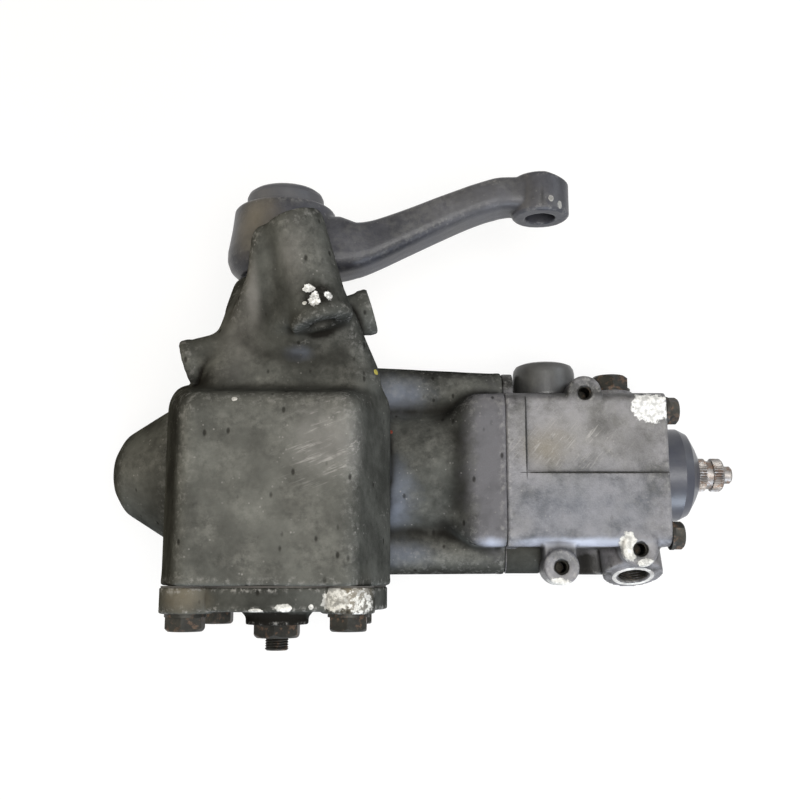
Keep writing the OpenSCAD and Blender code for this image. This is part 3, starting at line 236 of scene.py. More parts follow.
# lamps: name, place, size and tint
LAMPS = (
    ("key", (0.12, -0.16, 1.05), 0.55, (1.0, 0.985, 0.96)),
    ("side", (0.75, 0.35, 0.55), 0.45, (0.82, 0.9, 1.0)),
    ("low", (0.25, -0.95, 0.32), 0.4, (0.76, 0.86, 1.0)),
    ("warm", (-0.9, 0.25, 0.6), 0.5, (1.0, 0.88, 0.62)),
)
LAMP_AIM = (0.0, 0.0, 0.08)
WHITE = (1.0, 1.0, 1.0, 1.0)
FLOOR_SIDE, FLOOR_HEIGHT = 12.0, -0.0004
# shares of the floor's colour that bounce light and take shadow, and its own glow to the camera
FLOOR_BOUNCE, FLOOR_SHADE, FLOOR_GLOW = 0.45, 0.24, 0.82
CAMERA_TILT = math.radians(10.0)
CAMERA_AIM, CAMERA_DISTANCE = (-0.0139, 0.0005, 0.098), 0.532

BOLT_NODES = (
    "cover_bolts", "valve_bolts", "cover_washers", "valve_washers", "lock_washer",
    "lock_nut", "gallery_plug", "seal_circlip",
)
GROUND_NODES = (
    "sector_shaft", "piston", "ball_return", "balls", "worm", "worm_bearing",
    "valve_sleeve", "torsion_bar", "bar_pin", "input_bearing",
)
BRONZE_NODES = ("neck_bush", "cover_bush")
RUBBER_NODES = ("neck_seal", "valve_o_ring", "input_seal")
RING_NODES = ("piston_ring", "sleeve_rings")


def colour(name, description, default):
    """A colour property in linear values."""
    return FloatVectorProperty(
        name=name, description=description, subtype="COLOR", size=3, min=0, max=1, default=default
    )


def length(name, description, default):
    """A length property in metres."""
    return FloatProperty(name=name, description=description, unit="LENGTH", min=0, default=default)


def power(name, description, default):
    """A lamp's power in watts."""
    return FloatProperty(name=name, description=description, unit="POWER", default=default)


class GearFinish(bpy.types.PropertyGroup):
    """Colours of the gear's finishes."""

    housing_paint: colour("Housing paint", "Black paint on the housing", (0.071, 0.072, 0.064))
    valve_paint: colour("Valve paint", "Faded paint on the valve block", (0.148, 0.143, 0.148))
    arm_paint: colour("Arm paint", "Blue-black paint on the drop arm", (0.040, 0.040, 0.0475))
    bare_iron: colour("Bare iron", "Iron where the paint has worn off", (0.32, 0.31, 0.29))
    dust: colour("Dust", "Dry dust on faces that look up", (0.23, 0.225, 0.2))
    scuff: colour("Scuff", "Pale rubbed paint", (0.33, 0.315, 0.295))
    # cool pale tint painted on as sheen and highlights on the paint
    film: colour("Film", "Cool film of oil on the paint", (0.17, 0.185, 0.22))
    # pale tint painted on as a highlight along lower edges
    edge_film: colour("Edge film", "Cool rubbed lower edge of the valve block", (0.42, 0.44, 0.51))
    # dark colour of oily grime, and of painted shade in hollows and in the tone tables
    dirt: colour("Dirt", "Oily dirt in hollows", (0.015, 0.014, 0.012))
    rust: colour("Rust", "Brown rust", (0.16, 0.085, 0.045))
    rust_skin: colour("Rust skin", "Dry brown-grey skin of old rust", (0.2, 0.17, 0.12))
    fresh_white: colour("Fresh white", "Thick white marking paint", (0.8, 0.79, 0.76))
    white_paint: colour("White paint", "Splashes of marking paint", (0.66, 0.645, 0.6))
    red_fleck: colour("Red fleck", "Fleck of red primer", (0.26, 0.06, 0.04))
    yellow_fleck: colour("Yellow fleck", "Fleck of yellow paint", (0.5, 0.43, 0.1))
    bolt_steel: colour("Bolt steel", "Blackened bolts", (0.027, 0.026, 0.022))
    shaft_steel: colour("Shaft steel", "Bare steel of the input shaft", (0.246, 0.23, 0.217))
    bright_steel: colour("Bright steel", "Freshly machined faces", (0.72, 0.72, 0.71))
    ground_steel: colour("Ground steel", "Hardened inner parts", (0.52, 0.52, 0.53))
    bronze: colour("Bronze", "Bushes", (0.5, 0.36, 0.17))
    rubber: colour("Rubber", "Seals", (0.02, 0.02, 0.021))
    cap_rubber: colour("Dust cap", "Blue-grey dust cap", (0.032, 0.0345, 0.048))
    plastic: colour("Plastic", "Round port cap", (0.03, 0.03, 0.03))
    ring_plastic: colour("Ring plastic", "Piston and sleeve rings", (0.14, 0.1, 0.06))
    gasket: colour("Gasket", "Paper gasket", (0.05, 0.045, 0.04))


class GearSizes(bpy.types.PropertyGroup):
    """Sizes of the worked surfaces."""

    housing_voxel: length("Housing voxel", "Cell size when the housing is softened", 0.00125)
    valve_voxel: length("Valve voxel", "Cell size when the valve block is softened", 0.00085)
    cover_voxel: length("Cover voxel", "Cell size when the side cover is softened", 0.0009)
    arm_voxel: length("Arm voxel", "Cell size when the drop arm is softened", 0.0009)
    face_limit: IntProperty(
        name="Face limit", description="Most triangles in one softened piece",
        min=1000, max=195000, default=170000,
    )
    spline_r: length("Spline radius", "Outer radius of the input spline", 0.0095)
    spline_depth: length("Spline depth", "Depth of the spline's teeth", 0.0008)
    spline_teeth: IntProperty(
        name="Spline teeth", description="Teeth round the input shaft", min=12, max=80, default=36
    )
    port_r: length("Port radius", "Thread radius of the pressure port", 0.0083)
    port_seat_r: length("Port seat radius", "Outer radius of the machined port face", 0.0121)
    return_r: length("Return radius", "Thread radius of the return port", 0.0073)
    bracket_r: length("Bracket hole radius", "Thread radius of the bracket holes", 0.0034)


class GearStage(bpy.types.PropertyGroup):
    """Floor, lamps and camera."""

    floor: colour("Floor", "Pale floor", (0.86, 0.85, 0.83))
    key_power: power("Key lamp", "Power of the key lamp", 10.0)
    side_power: power("Side lamp", "Power of the cool side lamp", 2.0)
    low_power: power("Low lamp", "Power of the cool low lamp", 7.0)
    warm_power: power("Warm lamp", "Power of the warm left lamp", 2.5)
    ambient: FloatProperty(
        name="Ambient", description="Strength of the light from all round", default=0.11
    )
    lens: FloatProperty(name="Lens", description="Focal length", unit="CAMERA", default=45.18)


def grid_faces(rows, cols):
    """Quads between neighbouring rows of a grid whose columns close round to the first."""
    low = np.arange(rows - 1)[:, None] * cols
    col = np.arange(cols)[None, :]
    nxt = (col + 1) % cols
    high = low + cols
    return np.stack([low + col, low + nxt, high + nxt, high + col], axis=-1).reshape(-1, 4)


def linked(name, data):
    """A new object in the scene."""
    obj = bpy.data.objects.new(name, data)
    bpy.context.scene.collection.objects.link(obj)
    return obj


def add_object(name, mesh, body):
    """An object at the origin that rides on a CAD body."""
    obj = linked(name, mesh)
    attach(obj, body)
    return obj


def add_surface(name, arrays, body):
    """An object made of point and face arrays that rides on a CAD body."""
    return add_object(name, mesh_from_arrays(name, *arrays), body)


def mesh_from_arrays(name, points, faces):
    """A mesh from point and face arrays, with doubles at poles merged and normals outward."""
    mesh = bpy.data.meshes.new(name)
    mesh.from_pydata(points.tolist(), [], faces.tolist())
    work = bmesh.new()
    work.from_mesh(mesh)
    bmesh.ops.remove_doubles(work, verts=work.verts, dist=1e-7)
    bmesh.ops.dissolve_degenerate(work, edges=work.edges, dist=1e-8)
    bmesh.ops.recalc_face_normals(work, faces=work.faces)
    work.to_mesh(mesh)
    work.free()
    mesh.shade_smooth()
    mesh.set_sharp_from_angle(angle=SMOOTH_ANGLE)
    return mesh


def axis_basis(axis):
    """Two unit vectors square to an axis, and the axis itself, as the rows of a matrix."""
    w = np.array(axis, float) / np.linalg.norm(axis)
    helper = np.array([0.0, 0.0, 1.0]) if abs(w[2]) < 0.9 else np.array([1.0, 0.0, 0.0])
    u = np.cross(helper, w)
    u /= np.linalg.norm(u)
    return np.stack([u, np.cross(w, u), w])


def turned_surface(spread, station, origin, axis):
    """Points and faces of a turned surface.

    At the angle a of column j and the station s of row i the point is
    origin + spread[i, j] * (cos a * u + sin a * v) + s * w, where w is the axis.
    """
    u, v, w = axis_basis(axis)
    rows, cols = spread.shape
    angle = np.linspace(0, 2 * np.pi, cols, endpoint=False)[None, :, None]
    spoke = np.cos(angle) * u + np.sin(angle) * v
    points = np.array(origin) + spread[:, :, None] * spoke + station[:, None, None] * w
    return points.reshape(-1, 3), grid_faces(rows, cols)


def sampled_profile(stops, step):
    """A polyline of (radius, station) pairs in millimetres, as arrays in metres.

    Points are added so that none are further apart than step.
    """
    stops = np.array(stops, float) * MM
    run = np.hypot(*np.diff(stops, axis=0).T)
    along = np.concatenate([[0], np.cumsum(run)])
    extra = [
        np.linspace(a, b, max(2, int((b - a) / step) + 1)) for a, b in zip(along[:-1], along[1:])
    ]
    t = np.unique(np.concatenate([along, *extra]))
    return np.interp(t, along, stops[:, 0]), np.interp(t, along, stops[:, 1])


def thread_wave(station, angle, pitch):
    """A V thread: a triangle wave from 0 to 1 of the station less the angle's share of a pitch."""
    phase = (station / pitch - angle / (2 * np.pi)) % 1.0
    return np.abs(2 * phase - 1)


def threaded_piece(stops, span, depth, pitch, origin, axis, cols=72):
    """Points and faces of a turned piece with a V thread.

    The radius is the profile's own, less depth times the thread wave where the station lies between
    the first two values of span and the radius is below the third.
    """
    radius, station = sampled_profile(stops, pitch / 6)
    angle = np.linspace(0, 2 * np.pi, cols, endpoint=False)
    wall = (station > span[0]) & (station < span[1]) & (radius < span[2])
    cut = depth * thread_wave(station[:, None], angle[None, :], pitch) * wall[:, None]
    return turned_surface(radius[:, None] - cut, station, origin, axis)


def threaded_hole(bore, cup, origin, axis, cols=72):
    """Points and faces of a blind threaded hole: floor, threaded wall, lip, flat face and skirt."""
    skirt, depth, face, lip, low, high, reach, cut, pitch = cup
    bore, floor = bore / MM, -depth
    seat = bore + skirt
    stops = [
        (0, floor), (bore, floor), (bore, face - lip), (bore + lip, face),
        (seat - lip, face), (seat, face - lip), (seat, floor - lip), (0, floor - lip),
    ]
    span = (low * MM, high * MM, (bore + reach) * MM)
    return threaded_piece(stops, span, cut * MM, pitch * MM, origin, axis, cols)


def splined_shaft(sizes):
    """Points and faces of the input shaft.

    The radius follows the turned profile. On the spline it is less by spline_depth times a
    triangle wave of the angle with one period for each tooth.
    """
    radius, station = sampled_profile(SHAFT_PROFILE, PROFILE_STEP)
    steps = 6
    turn = np.arange(sizes.spline_teeth * steps) / steps
    wave = np.abs(2 * (turn % 1.0) - 1)
    toothed = (station > SPLINE_SPAN[0]) & (station < SPLINE_SPAN[1])
    toothed &= radius > sizes.spline_r - SPLINE_SLACK
    spread = radius[:, None] - sizes.spline_depth * wave[None, :] * toothed[:, None]
    return turned_surface(spread, station, WORM_AXIS, (1, 0, 0))


def turned_piece(stops, origin, axis, cols=96):
    """Points and faces of a plain turned piece: the profile's radius at each station, all round."""
    radius, station = sampled_profile(stops, PROFILE_STEP)
    return turned_surface(np.repeat(radius[:, None], cols, axis=1), station, origin, axis)


def joined_arrays(parts):
    """Several (points, faces) pairs as one."""
    shift = np.cumsum([0] + [len(points) for points, _ in parts[:-1]])
    faces = [f + s for (_, f), s in zip(parts, shift)]
    return np.concatenate([points for points, _ in parts]), np.concatenate(faces)


def closed_cylinder(origin, axis, radius, start, stop, cols=48):
    """A plain closed cylinder along an axis, used to stop a bore before softening."""
    ring = np.array([0, radius, radius, 0])
    station = np.array([start, start, stop, stop])
    return turned_surface(np.repeat(ring[:, None], cols, axis=1), station, origin, axis)


def neighbour_mean(values, edges, count):
    """Mean of each point's neighbours along the mesh's edges."""
    a, b = edges.T
    size = len(values)
    total = [
        np.bincount(a, values[b, k], size) + np.bincount(b, values[a, k], size)
        for k in range(values.shape[1])
    ]
    return np.stack(total, axis=1) / count[:, None]


def mesh_arrays(mesh):
    """Points, edges and neighbour counts of a mesh."""
    points = np.empty(len(mesh.vertices) * 3, np.float32)
    mesh.vertices.foreach_get("co", points)
    edges = np.empty(len(mesh.edges) * 2, np.int32)
    mesh.edges.foreach_get("vertices", edges)
    edges = edges.reshape(-1, 2)
    count = np.maximum(np.bincount(edges.ravel(), minlength=len(mesh.vertices)), 1)
    return points.reshape(-1, 3).astype(float), edges, count


def smooth_points(points, edges, count, rounds):
    """Rounds edges off and keeps the volume.

    Each round moves a point half of the way to the mean of its neighbours, and then back by a
    slightly larger share of the new distance.
    """
    for share in (0.5, -0.52) * rounds:
        points = points + share * (neighbour_mean(points, edges, count) - points)
    return points


def mark_shape(mesh, rounds):
    """Stores how far each point stands out of, or lies in, a smoothed copy of the surface.

    The offset of the smoothed point along the normal, over RIDGE_REACH, is negative on ridges
    and positive in hollows. The two signs go into the attributes ridge and hollow.
    """
    points, edges, count = mesh_arrays(mesh)
    flat = points
    for _ in range(rounds):
        flat = neighbour_mean(flat, edges, count)
    normals = np.empty(len(mesh.vertices) * 3, np.float32)
    mesh.vertex_normals.foreach_get("vector", normals)
    offset = ((flat - points) * normals.reshape(-1, 3)).sum(axis=1) / RIDGE_REACH
    for name, value in (("ridge", -offset), ("hollow", offset)):
        layer = mesh.attributes.new(name, "FLOAT", "POINT")
        layer.data.foreach_set("value", np.clip(value, 0, 1).astype(np.float32))


def nearness(distance, inner, outer):
    """One up to the inner distance, falling to nothing at the outer one."""
    return np.clip((outer - distance) / (outer - inner), 0, 1)


def housing_crisp(points):
    """Share of crispness on the housing: one on seams and machined ends, nothing on cast skin."""
    x, y, _ = points.T
    shares = [
        nearness(VALVE_SEAM_X - x, *VALVE_SEAM_FADE),
        nearness(y - COVER_SEAM_Y, *COVER_SEAM_FADE),
        COLUMN_SHARE * nearness(np.linalg.norm(points - COLUMN_END, axis=1), *COLUMN_FADE),
    ]
    shares += [nearness(np.linalg.norm(points - end, axis=1), *LUG_FADE) for end in LUG_ENDS]
    return np.max(shares, axis=0)


def softened_copy(node, voxel, rounds, bores, limit, fillets=0, crisp=None):
    """A CAD node's mesh with its bores stopped and its edges rounded as a casting's are.

    Cast fillets come from rounds in which each point moves half of the way to the mean of its
    neighbours. The crisp function gives the share of each point that is left out of them.
    """
    work = bmesh.new()
    work.from_mesh(NODES[node].data)
    bmesh.ops.remove_doubles(work, verts=work.verts, dist=1e-6)
    for bore in bores:
        plug = mesh_from_arrays("stopper", *closed_cylinder(*bore))
        work.from_mesh(plug)
        bpy.data.meshes.remove(plug)
    mesh = bpy.data.meshes.new(node + "_cast")
    work.to_mesh(mesh)
    work.free()
    shell = linked("shell", mesh)
    remesh = shell.modifiers.new("cells", "REMESH")
    remesh.mode = "VOXEL"
    remesh.voxel_size = voxel
    soft = evaluated_mesh(shell)
    points, edges, count = mesh_arrays(soft)
    smooth = smooth_points(points, edges, count, rounds)
    if fillets:
        rounded = points
        for _ in range(fillets):
            rounded = 0.5 * (rounded + neighbour_mean(rounded, edges, count))
        share = crisp(points)[:, None] if crisp else 0.0
        smooth = share * smooth + (1 - share) * rounded
    soft.vertices.foreach_set("co", smooth.astype(np.float32).ravel())
    soft.update()
    shell.modifiers.clear()
    shell.data = soft
    triangles = sum(len(p.vertices) - 2 for p in soft.polygons)
    if triangles > limit:
        thin = shell.modifiers.new("thin", "DECIMATE")
        thin.ratio = limit / triangles
        shell.data = evaluated_mesh(shell)
    made = shell.data
    bpy.data.objects.remove(shell)
    made.materials.clear()
    made.shade_smooth()
    return made


def slim_arm(mesh):
    """Slims the softened bar and its eye.

    Past the hub a height becomes the worked middle plus the thickness share of its distance from
    the CAD middle, and the distance from the arm's plane is scaled by the width share. The four
    values are read along the arm. Heights at the eye's upper end are then drawn down towards its
    tip.
    """
    points, _, _ = mesh_arrays(mesh)
    x, y, z = points.T
    along = (x - SECTOR_AXIS[0]) / ARM_LENGTH
    station, *values = np.array(ARM_STATIONS).T
    cad, worked, thick, wide = (np.interp(along, station, value) for value in values)
    share = nearness(HUB_END - along, 0.0, HUB_FADE)
    slim = worked * MM + (y - cad * MM) * thick
    broad = SECTOR_AXIS[2] + (z - SECTOR_AXIS[2]) * wide
    y, z = y + share * (slim - y), z + share * (broad - z)
    level = EYE_TOP - EYE_DROP * nearness(EYE_TIP_X - x, 0.0, EYE_RUN)
    drawn = EYE_START + (y - EYE_START) * (level - EYE_START) / (EYE_TOP - EYE_START)
    tip = 1 - nearness(x - EYE_FROM_X, 0.0, EYE_FADE)
    y = np.where(y > EYE_START, y + tip * (drawn - y), y)
    mesh.vertices.foreach_set("co", np.stack([x, y, z], axis=1).astype(np.float32).ravel())
    mesh.update()


def evaluated_mesh(obj):
    """The object's mesh with its modifiers applied."""
    graph = bpy.context.evaluated_depsgraph_get()
    return bpy.data.meshes.new_from_object(obj.evaluated_get(graph))


class Tree:
    """Short calls that add nodes to a shader tree and join them."""

    def __init__(self, tree):
        self.tree = tree

    def node(self, kind, **inputs):
        """Adds a shader node and feeds its inputs."""
        return self.feed(self.tree.nodes.new("ShaderNode" + kind), **inputs)

    def feed(self, made, **inputs):
        """Puts values into a node's inputs by name, with _ for a space."""
        for name, value in inputs.items():
            self.put(made.inputs[name.replace("_", " ")], value)
        return made

    def put(self, socket, value):
        """Links a socket to another, or sets its value."""
        if isinstance(value, bpy.types.NodeSocket):
            self.tree.links.new(value, socket)
        else:
            socket.default_value = value

    def fill(self, made, values):
        """Puts values into a node's inputs in order."""
        for socket, value in zip(made.inputs, values):
            self.put(socket, value)
        return made.outputs

    def math(self, operation, *values, clamp=False):
        """One arithmetic node."""
        made = self.node("Math")
        made.operation, made.use_clamp = operation, clamp
        return self.fill(made, values)[0]

    def vector(self, operation, *values, output=0):
        """One vector arithmetic node."""
        made = self.node("VectorMath")
        made.operation = operation
        return self.fill(made, values)[output]

    def mix(self, factor, first, second):
        """One colour mix node."""
        made = self.node("Mix")
        made.data_type = "RGBA"
        for key, value in (("Factor", factor), (6, first), (7, second)):
            self.put(made.inputs[key], value)
        return made.outputs[2]

    def times(self, first, second, clamp=False):
        """The product of two values."""
        return self.math("MULTIPLY", first, second, clamp=clamp)

    def step(self, value, low, high):
        """Smooth step of a value from low to high."""
        made = self.node("MapRange", Value=value, From_Min=low, From_Max=high)
        made.interpolation_type = "SMOOTHSTEP"
        return made.outputs["Result"]

    def noise(self, place, scale, detail=3.0, rough=0.55):
        """The value of a noise texture."""
        made = self.node("TexNoise", Vector=place, Scale=scale, Detail=detail, Roughness=rough)
        return made.outputs["Fac"]

    def group(self, name, **inputs):
        """Places a shader node group."""
        made = self.node("Group")
        made.node_tree = bpy.data.node_groups[name]
        return self.feed(made, **inputs).outputs


def new_group(name, outputs, **inputs):
    """An empty shader node group with float outputs. An input takes its kind from its default.

    Returns the group's tree helper, its given inputs and the sockets of its output node.
    """
    group = bpy.data.node_groups.new(name, "ShaderNodeTree")
    for label, default in inputs.items():
        kind = "NodeSocketFloat" if isinstance(default, float) else "NodeSocketVector"
        group.interface.new_socket(label, in_out="INPUT", socket_type=kind).default_value = default
    for label in outputs:
        group.interface.new_socket(label, in_out="OUTPUT", socket_type="NodeSocketFloat")
    given = group.nodes.new("NodeGroupInput").outputs
    return Tree(group), given, group.nodes.new("NodeGroupOutput").inputs


def make_cast_skin_group():
    """Sand-cast skin: coarse lumps, fine grain and scattered pits, as one height from 0 to 1."""
    tree, given, out = new_group(
        "cast_skin", ("Height", "Pit"), Place=ORIGIN, Coarse=0.5, Fine=0.4, Pits=0.3
    )
    lumps = tree.noise(given["Place"], 170, 2.0)
    grain = tree.noise(given["Place"], 1100, 3.0, 0.65)
    long = tree.vector("MULTIPLY", given["Place"], (1.0, 0.55, 1.0))
    cells = tree.node("TexVoronoi", Vector=long, Scale=190.0).outputs
    chosen = tree.step(tree.node("SeparateColor", Color=cells["Color"]).outputs[0], 0.74, 0.8)
    pit = tree.times(tree.step(cells["Distance"], 0.24, 0.08), chosen)
    height = tree.times(lumps, given["Coarse"])
    height = tree.math("MULTIPLY_ADD", grain, given["Fine"], height)
    height = tree.math("SUBTRACT", height, tree.times(pit, given["Pits"]))
    tree.put(out["Height"], height)
    tree.put(out["Pit"], pit)


def make_weather_group():
    """Masks for dust on upward faces, oily grime and painted shade in hollows, worn ridges and fine
    pale specks.
    """
    tree, given, out = new_group(
        "weather", WEATHER, Place=ORIGIN, Dust=0.5, Dirt=0.5, Wear=0.5, Specks=0.5
    )
    place = given["Place"]
    ridge, hollow = tree.node("Attribute"), tree.node("Attribute")
    ridge.attribute_name, hollow.attribute_name = "ridge", "hollow"
    normal = tree.node("NewGeometry").outputs["Normal"]
    upward = tree.step(tree.vector("DOT_PRODUCT", normal, (0.0, 0.0, 1.0), output=1), 0.55, 1.0)
    cloud = tree.noise(place, 45, 4.0, 0.6)
    streak = tree.noise(place, 260, 3.0, 0.7)
    dust = tree.times(tree.step(cloud, 0.36, 0.66), upward)
    dust = tree.times(dust, tree.step(streak, 0.25, 0.7))
    # grime: random damp patches plus the hollows, whose darkening is also painted shade
    grime_and_shade = tree.step(tree.noise(place, 70, 3.0), 0.42, 0.62)
    grime_and_shade = tree.math("MULTIPLY_ADD", hollow.outputs["Fac"], 1.6, tree.times(grime_and_shade, 0.35))
    chips = tree.step(tree.noise(place, 330, 4.0, 0.7), 0.48, 0.66)
    worn = tree.times(tree.step(ridge.outputs["Fac"], 0.12, 0.6), chips)
    cells = tree.node("TexVoronoi", Vector=place, Scale=520.0).outputs
    chosen = tree.step(tree.node("SeparateColor", Color=cells["Color"]).outputs[1], 0.7, 0.78)
    fine = tree.times(tree.step(cells["Distance"], 0.34, 0.14), chosen)
    fine = tree.times(fine, tree.step(tree.noise(place, 80, 3.0, 0.6), 0.5, 0.68))
    for name, mask in zip(WEATHER, (dust, grime_and_shade, worn, fine)):
        tree.put(out[name], tree.times(mask, given[name], clamp=True))


def make_splash_group():
    """A ragged splash with holes.

    It is one where the distance from its centre, in sizes, plus noise is below one, and fades over
    the share Soft. A second noise breaks it up by the share Broken.
    """
    tree, given, out = new_group(
        "splash", ("Mask",), Place=ORIGIN, Centre=ORIGIN, Size=(0.01, 0.01, 0.01), Rag=1.0,
        Grain=300.0, Soft=0.14, Broken=0.0,
    )
    offset = tree.vector("SUBTRACT", given["Place"], given["Centre"])
    offset = tree.vector("DIVIDE", offset, given["Size"])
    reach = tree.vector("LENGTH", offset, output=1)
    ragged = tree.math("SUBTRACT", tree.noise(given["Place"], given["Grain"], 4.0, 0.65), 0.5)
    reach = tree.math("MULTIPLY_ADD", ragged, given["Rag"], reach)
    mask = tree.step(reach, 1.0, tree.math("SUBTRACT", 1.0, given["Soft"]))
    holes = tree.step(tree.noise(given["Place"], 520, 3.0, 0.6), 0.46, 0.54)
    kept = tree.math("SUBTRACT", 1.0, tree.times(holes, given["Broken"]))
    tree.put(out["Mask"], tree.times(mask, kept))


def make_streak_group():
    """Fine rubbed streaks: noise stretched along a turned direction, kept where it is high."""
    tree, given, out = new_group("streaks", ("Mask",), Place=ORIGIN, Turn=0.5)
    turned = tree.node("VectorRotate", Vector=given["Place"], Angle=given["Turn"]).outputs[0]
    drawn = tree.vector("MULTIPLY", turned, (1.0, 0.09, 1.0))
    lines = tree.step(tree.noise(drawn, 900, 3.0, 0.6), 0.52, 0.66)
    patchy = tree.step(tree.noise(given["Place"], 120, 3.0, 0.6), 0.4, 0.6)
    tree.put(out["Mask"], tree.times(lines, patchy))


def start_material(name):
    """A new material with its Principled shader, tree helper and Object coordinates."""
    material = bpy.data.materials.new(name)
    material.use_nodes = True
    tree = Tree(material.node_tree)
    shader = material.node_tree.nodes["Principled BSDF"]
    place = tree.node("TexCoord").outputs["Object"]
    return material, tree, shader, place


def rgba(values, share=1.0):
    """A linear colour with alpha, scaled by a share."""
    return tuple(v * share for v in values) + (1.0,)


def bump(tree, shader, height, strength, distance):
    """Feeds the shader's normal from a height."""
    made = tree.node("Bump", Height=height, Strength=strength, Distance=distance)
    tree.feed(shader, Normal=made.outputs["Normal"])


def splash(tree, place, spot, **inputs):
    """The mask of one splash. The spot's six values are its centre and size in millimetres."""
    spot = tuple(value * MM for value in spot)
    return tree.group("splash", Place=place, Centre=spot[:3], Size=spot[3:], **inputs)["Mask"]


def cast_material(
    name, paint, finish, weather, skin=(0.5, 0.4, 0.3), rough=(0.5, 0.75), gloss=0.0,
    mottling=(38, 0.64, 1.36), tones=(), rubs=(), splashes=(),
):
    """Painted casting: mottled, tinted paint, rubs, dust, grime, worn ridges, specks and splashes,
    with painted shade and highlights.

    weather gives the shares of dust, grime with painted shade in hollows, wear and specks, skin
    those of lumps, grain and pits, rough the roughness of clean and dusty paint, and mottling the
    noise's scale and the shares of its dark and pale paint. tones, rubs and splashes are tables as
    at the top of the file; the tones include painted shade and painted highlights.
    """
    material, tree, shader, place = start_material(name)
    surface = tree.group("cast_skin", Place=place, **dict(zip(("Coarse", "Fine", "Pits"), skin)))
    masks = tree.group("weather", Place=place, **dict(zip(WEATHER, weather)))
    scale, dark, pale = mottling
    mottle = tree.noise(place, scale, 5.0, 0.65)
    coat = tree.mix(tree.step(mottle, 0.32, 0.68), rgba(paint, dark), rgba(paint, pale))
    coat = tree.mix(masks["Dust"], coat, rgba(finish.dust))
    # tinted areas, among them painted shade and painted highlights
    for *spot, tint, share in tones:
        soft = splash(tree, place, spot, Rag=0.7, Grain=90.0, Soft=1.0)
        coat = tree.mix(tree.times(soft, share), coat, rgba(getattr(finish, tint)))
    for *spot, turn, share in rubs:
        soft = splash(tree, place, spot, Rag=0.9, Grain=60.0, Soft=0.7)
        streaks = tree.group("streaks", Place=place, Turn=turn)["Mask"]
        rubbed = tree.times(tree.times(soft, streaks), share)
        coat = tree.mix(rubbed, coat, rgba(finish.scuff))
    coat = tree.mix(masks["Specks"], coat, rgba(finish.scuff, 1.1))
    # oily grime, and painted shade in hollows
    coat = tree.mix(masks["Dirt"], coat, rgba(finish.dirt))
    coat = tree.mix(masks["Wear"], coat, rgba(finish.bare_iron))
    coat = tree.mix(tree.times(surface["Pit"], 2.5 * skin[2]), coat, rgba(finish.dirt))
    covered = None
    for *spot, tint, rag, broken in splashes:
        mask = splash(tree, place, spot, Rag=rag, Broken=broken)
        tint = getattr(finish, tint)
        grain = tree.step(tree.noise(place, 420, 3.0), 0.35, 0.62)
        coat = tree.mix(mask, coat, tree.mix(grain, rgba(tint, 0.62), rgba(tint, 1.1)))
        covered = mask if covered is None else tree.math("MAXIMUM", covered, mask)
    matte = tree.math("MULTIPLY_ADD", masks["Dust"], rough[1] - rough[0], rough[0])
    matte = tree.math("MULTIPLY_ADD", tree.math("SUBTRACT", mottle, 0.5), 0.25, matte, clamp=True)
    tree.feed(shader, Base_Color=coat, Roughness=matte, Metallic=tree.times(masks["Wear"], 0.6))
    shader.inputs["Specular IOR Level"].default_value = gloss
    height = surface["Height"]
    if covered is not None:
        height = tree.math("MULTIPLY_ADD", covered, 0.25, height)
    bump(tree, shader, height, 0.55, 0.0009)
    return material


def steel_material(name, steel, finish, rust_share, rough, metallic=1.0):
    """Steel with fine scratches, darker stains and patches of rust."""
    material, tree, shader, place = start_material(name)
    stain = tree.noise(place, 160, 4.0, 0.65)
    fine = tree.noise(place, 420, 3.0, 0.7)
    tone = tree.mix(tree.step(stain, 0.3, 0.7), rgba(steel, 0.6), rgba(steel, 1.2))
    rust = tree.times(tree.step(tree.noise(place, 240, 5.0, 0.7), 0.5, 0.64), rust_share)
    tree.feed(shader, Base_Color=tree.mix(rust, tone, rgba(finish.rust)))
    shine = tree.math("MULTIPLY_ADD", rust, -0.8 * metallic, metallic, clamp=True)
    matte = tree.math("MULTIPLY_ADD", fine, 0.35, rough - 0.15, clamp=True)
    tree.feed(shader, Metallic=shine, Roughness=matte)
    bump(tree, shader, tree.math("MULTIPLY_ADD", rust, 0.4, fine), 0.25, 0.0003)
    return material


def moulded_material(name, tint, rough, dust_share, finish):
    """Moulded rubber or plastic with a fine grain and a thin layer of dust."""
    material, tree, shader, place = start_material(name)
    cloud = tree.noise(place, 60, 4.0, 0.6)
    grain = tree.noise(place, 1600, 2.0, 0.6)
    film = tree.times(tree.step(cloud, 0.35, 0.75), dust_share)
    faded = tree.step(tree.noise(place, 25, 2.0), 0.3, 0.7)
    base = tree.mix(faded, rgba(tint, 0.85), rgba(tint, 1.15))
    tree.feed(shader, Base_Color=tree.mix(film, base, rgba(finish.dust)))
    tree.feed(shader, Roughness=tree.math("MULTIPLY_ADD", film, 0.3, rough, clamp=True))
    bump(tree, shader, grain, 0.2, 0.0003)
    return material


def settings(context):
    """The finishes and sizes that are set on the scene."""
    return context.scene.gear_finish, context.scene.gear_sizes


def dress(obj, material):
    """Gives an object one material."""
    obj.data.materials.clear()
    obj.data.materials.append(material)


class GEAR_OT_shaders(bpy.types.Operator):
    """Builds the shared shader node groups."""

    bl_idname = "gear.shaders"
    bl_label = "Shader groups"

    def execute(self, context):
        make_cast_skin_group()
        make_weather_group()
        make_splash_group()
        make_streak_group()
        return {"FINISHED"}


